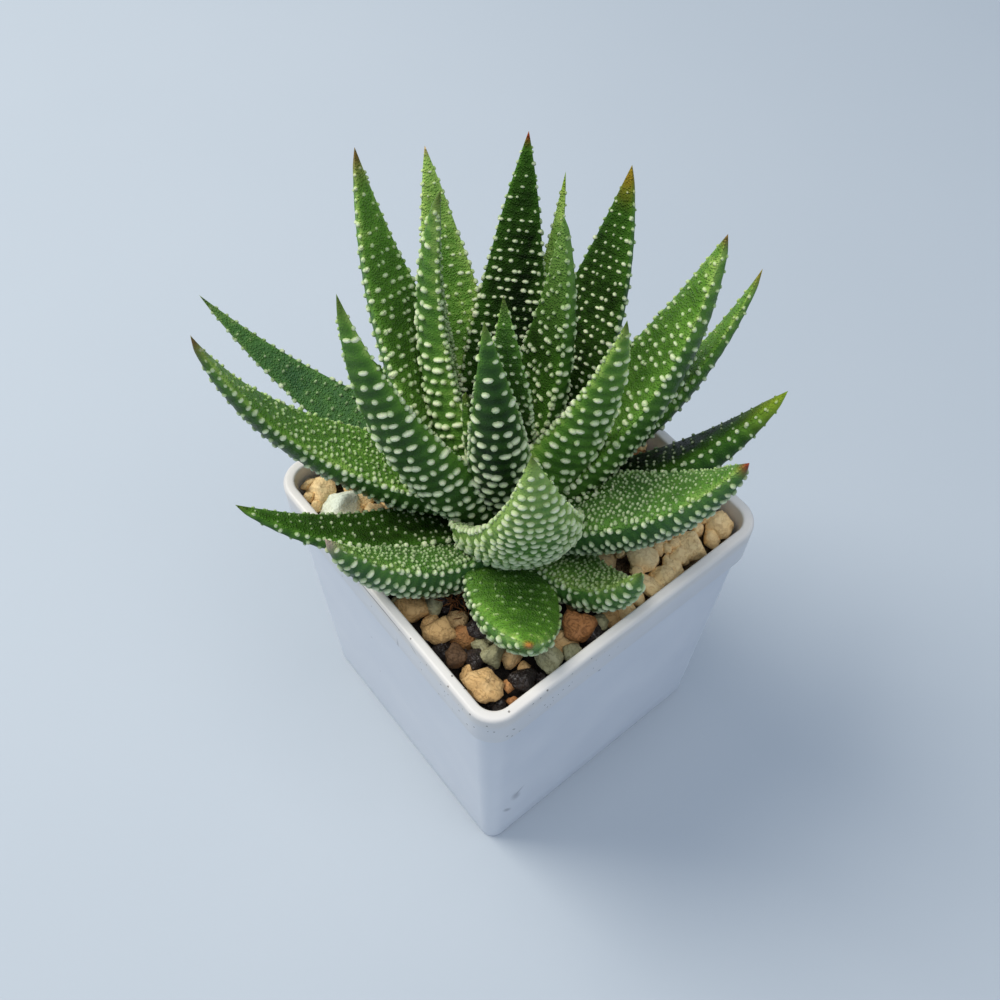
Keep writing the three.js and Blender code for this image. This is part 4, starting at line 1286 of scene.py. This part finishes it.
stones_at = np.array([centre for centre, _ in named_stones])
stones_size = np.array([size for _, size in named_stones]) * STONE_SHARE
stone_gaps = np.linalg.norm(centres[:, None] - stones_at[None], axis=-1) - stones_size
clear = stone_gaps.min(1) > radius * np.where(pale_side, PALE_CLEARANCE, CLEARANCE)
able = clear & (away > NEAR_STEM) & (z > LOWEST)
spacing = np.where(pale_side, PALE_SPACING, SPACING)
kept = []
for pick in np.flatnonzero(able):
    apart = np.hypot(x[kept] - x[pick], y[kept] - y[pick])
    if np.all(apart > spacing[pick] * (radius[kept] + radius[pick])):
        kept.append(pick)
kept = np.array(kept)
print("pebbles laid:", len(kept), "of", THROWN)

# %% [markdown]
# ## The pebbles themselves
# Each pebble draws its kind by the side that it lies on. The pale sides are nearly
# all cream, the front has more bark and the back more tan. The pebbles of one kind
# are one mesh, which is lighter than a mesh for each and needs one material.

# %% Pebble meshes
SMALL_RINGS, SMALL_AROUND = 9, 14
SMALLEST_STRETCH, LARGEST_STRETCH = [0.85, 0.75, 0.7], [1.25, 1.0, 0.95]


def mixed(chance, kinds, limits):
    """The first kind up to the first limit, the second up to the next, and so on."""
    return np.array(kinds)[np.searchsorted(limits, chance)]


small_sphere = sphere_points(SMALL_RINGS, SMALL_AROUND)
small_faces = ring_faces(SMALL_RINGS, SMALL_AROUND)
chance = random.random(len(x))
pale_mix = mixed(chance, ["cream", "mint"], [0.92])
front_mix = mixed(chance, ["tan", "mint", "rust", "bark"], [0.3, 0.48, 0.58])
back_mix = mixed(chance, ["tan", "mint", "bark"], [0.6, 0.75])
kind_of = np.where(pale_side, pale_mix, np.where(y < 0, front_mix, back_mix))
for kind in np.unique(kind_of[kept]):
    material, slot = TONES[kind]
    form_of_kind = CHIP_FORM if kind == "bark" else ROUGH_FORM
    chosen = kept[kind_of[kept] == kind]
    clouds, shades = [], []
    for pick in chosen:
        form = stone_form(small_sphere, random, *form_of_kind)
        size = radius[pick] * random.uniform(SMALLEST_STRETCH, LARGEST_STRETCH)
        clouds.append(turned(form * size, random) + centres[pick])
        shades.append(np.full(len(form), random.random()))
    points, shade = np.concatenate(clouds), np.concatenate(shades)
    faces = repeated_faces(small_faces, len(small_sphere), len(chosen))
    pebbles = mesh_piece(f"{kind}_pebbles", points, faces, material, {"shade": shade})
    settle(pebbles, slot)
    print(kind, "pebbles:", len(chosen))

# %% [markdown]
# ## Soil and stem
# The soil and the stem hardly show: the soil through the drain holes and the stem
# between the lowest leaves. Their solids are right as they are and only need a
# finish.

# %% Soil and stem
for name, look in (("soil", "damp_soil"), ("stem", "dry_stock")):
    solid = frame["nodes"][name]
    solid.data.materials.clear()
    solid.data.materials.append(stones[look])
print("solids kept from the packed part:", "soil, stem")

# %% [markdown]
# ## Dry scraps, fibres and hairs
# Bits of dead leaf lie caught low in the rosette, and bark fibres and a few hairs
# on the gravel. Each is a thin tube. Its heading is a first direction plus the
# running sum of small random turns, and its girth follows half a sine wave, so
# both ends taper.

# %% Dry scraps and hairs
STRAND_STEPS, STRAND_SIDES = 10, 5
WANDER, FLATNESS, SIDEWAYS = 0.4, [1, 1, 0.45], [0.31, 0.23, 0.92]
FLAT_TUFT, SHORTEST, THINNEST, STRAND_SEED = [1, 1, 0.5], 0.5, 0.6, 77
# Each tuft: its centre, how many strands it has, their length, their radius and how
# far they spread, in millimetres.
TUFTS = {
    "dry_scraps": [((12.1, 8.5, 87.6), 34, 3.4, 0.26, 0.9), ((-16.0, 0.0, 93.0), 16, 4.0, 0.3, 1.6)],
    "bark_fibres": [((8.6, -21.7, 76.3), 40, 3.2, 0.16, 1.3), ((12.4, -20.4, 75.9), 14, 3.0, 0.14, 1.2)],
    "fine_hairs": [((18.9, -8.5, 79.0), 5, 5.0, 0.05, 1.2), ((13.5, -16.0, 77.0), 4, 5.0, 0.05, 1.5)],
}
STRAND_LOOKS = {"dry_scraps": "dry_scrap", "bark_fibres": "bark_fibre", "fine_hairs": "fine_hair"}


def strand(start, length, radius, random):
    """One tapered tube that strays from its first heading."""
    turns = np.cumsum(random.normal(scale=WANDER, size=(STRAND_STEPS, 3)), axis=0)
    heading = unit(random.normal(size=3) * FLATNESS + turns)
    path = start + np.cumsum(heading, axis=0) * length / STRAND_STEPS
    side = unit(np.cross(heading, SIDEWAYS))
    angle = 2 * np.pi * np.arange(STRAND_SIDES)[:, None] / STRAND_SIDES
    ring = np.cos(angle) * side[:, None] + np.sin(angle) * np.cross(heading, side)[:, None]
    girth = radius * np.sin(np.pi * (np.arange(STRAND_STEPS) + 0.7) / (STRAND_STEPS + 0.4))
    points = path[:, None] + ring * girth[:, None, None]
    ends = [path[0] - heading[0] * radius, path[-1] + heading[-1] * radius]
    return np.concatenate([points.reshape(-1, 3), ends])


random = np.random.default_rng(STRAND_SEED)
strand_faces = ring_faces(STRAND_STEPS, STRAND_SIDES)
for title, tufts in TUFTS.items():
    clouds = []
    for centre, number, length, radius, spread in tufts:
        starts = np.array(centre) + random.normal(size=(number, 3)) * spread * FLAT_TUFT
        for start in starts:
            own_length = length * random.uniform(SHORTEST, 1)
            own_radius = radius * random.uniform(THINNEST, 1)
            clouds.append(strand(start, own_length, own_radius, random))
    size = len(clouds[0])
    faces = repeated_faces(strand_faces, size, len(clouds))
    shade = np.repeat(random.random(len(clouds)), size)
    material = stones[STRAND_LOOKS[title]]
    settle(mesh_piece(title, np.concatenate(clouds), faces, material, {"shade": shade}), "stem")
    print(title, len(clouds))

# %% [markdown]
# ## Floor
# The plant stands on a plain pale floor, which throws light back on the pot. It is
# a stage and no part of the plant, and it is large, so that its edge is far off.

# %% Floor
floor_paint, tree, shader, place = empty_material("pale_floor")
cloud = use_group(tree, mottle, {"Vector": place, "Scale": 3.0, "Low": 0.2, "High": 0.8})["Fac"]
floor_colour = blend_colours(tree, cloud, paint(178, 186, 194), paint(186, 193, 200))
tree.links.new(floor_colour, shader.inputs["Base Color"])
shader.inputs["Roughness"].default_value = 0.8
corners = np.array([[-1, -1, 0], [1, -1, 0], [1, 1, 0], [-1, 1, 0]]) * 3000.0
floor = mesh_piece("pale_floor", corners, [np.array([[0, 1, 2, 3]])], floor_paint)
floor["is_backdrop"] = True
print("floor corners:", len(corners))

# %% [markdown]
# ## Light
# The light is that of a bright room: one large soft source high on the left and a
# little behind, a weaker one nearly overhead, and a cool glow from all round, which
# gives the shaded wall of the pot its bluish grey.

# %% Light
CENTRE = Vector((-0.005, 0.0, 0.08))
GLOW_COLOUR, GLOW_STRENGTH = (0.6, 0.78, 1.04, 1), 0.46


def soft_light(name, azimuth, elevation, distance, size, power, colour):
    """A square source that looks at the plant from a direction in degrees."""
    a, e = np.radians([azimuth, elevation])
    away = Vector((np.cos(a) * np.cos(e), np.sin(a) * np.cos(e), np.sin(e)))
    source = bpy.data.lights.new(name, "AREA")
    source.energy, source.size, source.color = power, size, colour
    lamp = bpy.data.objects.new(name, source)
    lamp.location = CENTRE + away * distance
    lamp.rotation_euler = away.to_track_quat("Z", "Y").to_euler()
    bpy.context.scene.collection.objects.link(lamp)
    return lamp


# The distances and sizes are in metres and the powers in watts.
soft_light("window", 210, 52, 0.9, 0.5, 7.1, (1.0, 0.96, 0.865))
soft_light("ceiling", 0, 74, 1.1, 0.8, 4.4, (1.0, 0.98, 0.95))
world = bpy.data.worlds.new("room_glow")
world.use_nodes = True
glow = world.node_tree.nodes["Background"].inputs
glow["Color"].default_value, glow["Strength"].default_value = GLOW_COLOUR, GLOW_STRENGTH
bpy.context.scene.world = world
bpy.context.scene.view_settings.view_transform = "Standard"

# %% [markdown]
# ## Camera
# The photographed view looks steeply down at one corner of the pot from close by,
# which is why the pot narrows so strongly towards the floor. The camera's place
# and angles were worked out from the pot's edges.

# %% Camera
AZIMUTH, ELEVATION, ROLL = np.radians([50.246, 56.776, 0.962])
EYE = Vector((0.084920, -0.074900, 0.252881))
FOCAL_SHARE = 1.037365
SENSOR = 36.0
back = Vector((
    np.sin(AZIMUTH) * np.cos(ELEVATION),
    -np.cos(AZIMUTH) * np.cos(ELEVATION),
    np.sin(ELEVATION),
))
level = Vector((np.cos(AZIMUTH), np.sin(AZIMUTH), 0))
upward = back.cross(level)
right = level * np.cos(ROLL) + upward * np.sin(ROLL)
up = upward * np.cos(ROLL) - level * np.sin(ROLL)
lens = bpy.data.cameras.new("photo_view")
lens.sensor_width = SENSOR
lens.lens = SENSOR * FOCAL_SHARE
lens.clip_start = 0.01
camera = bpy.data.objects.new("photo_view", lens)
camera.matrix_world = Matrix.Translation(EYE) @ Matrix((right, up, back)).transposed().to_4x4()
bpy.context.scene.collection.objects.link(camera)
bpy.context.scene.camera = camera
print("lens in millimetres:", round(lens.lens, 2))

# %% [markdown]
# ## The two boxes
# The fine pieces must not make the part larger than its imported model, so both
# boxes are printed.

# %% Sizes and finish
boxes = {
    "packed": [list(corner) for corner in packed_box],
    "visual": [list(corner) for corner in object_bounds()],
}
for title, corners in boxes.items():
    print(title, [[round(value / MM, 2) for value in corner] for corner in corners])
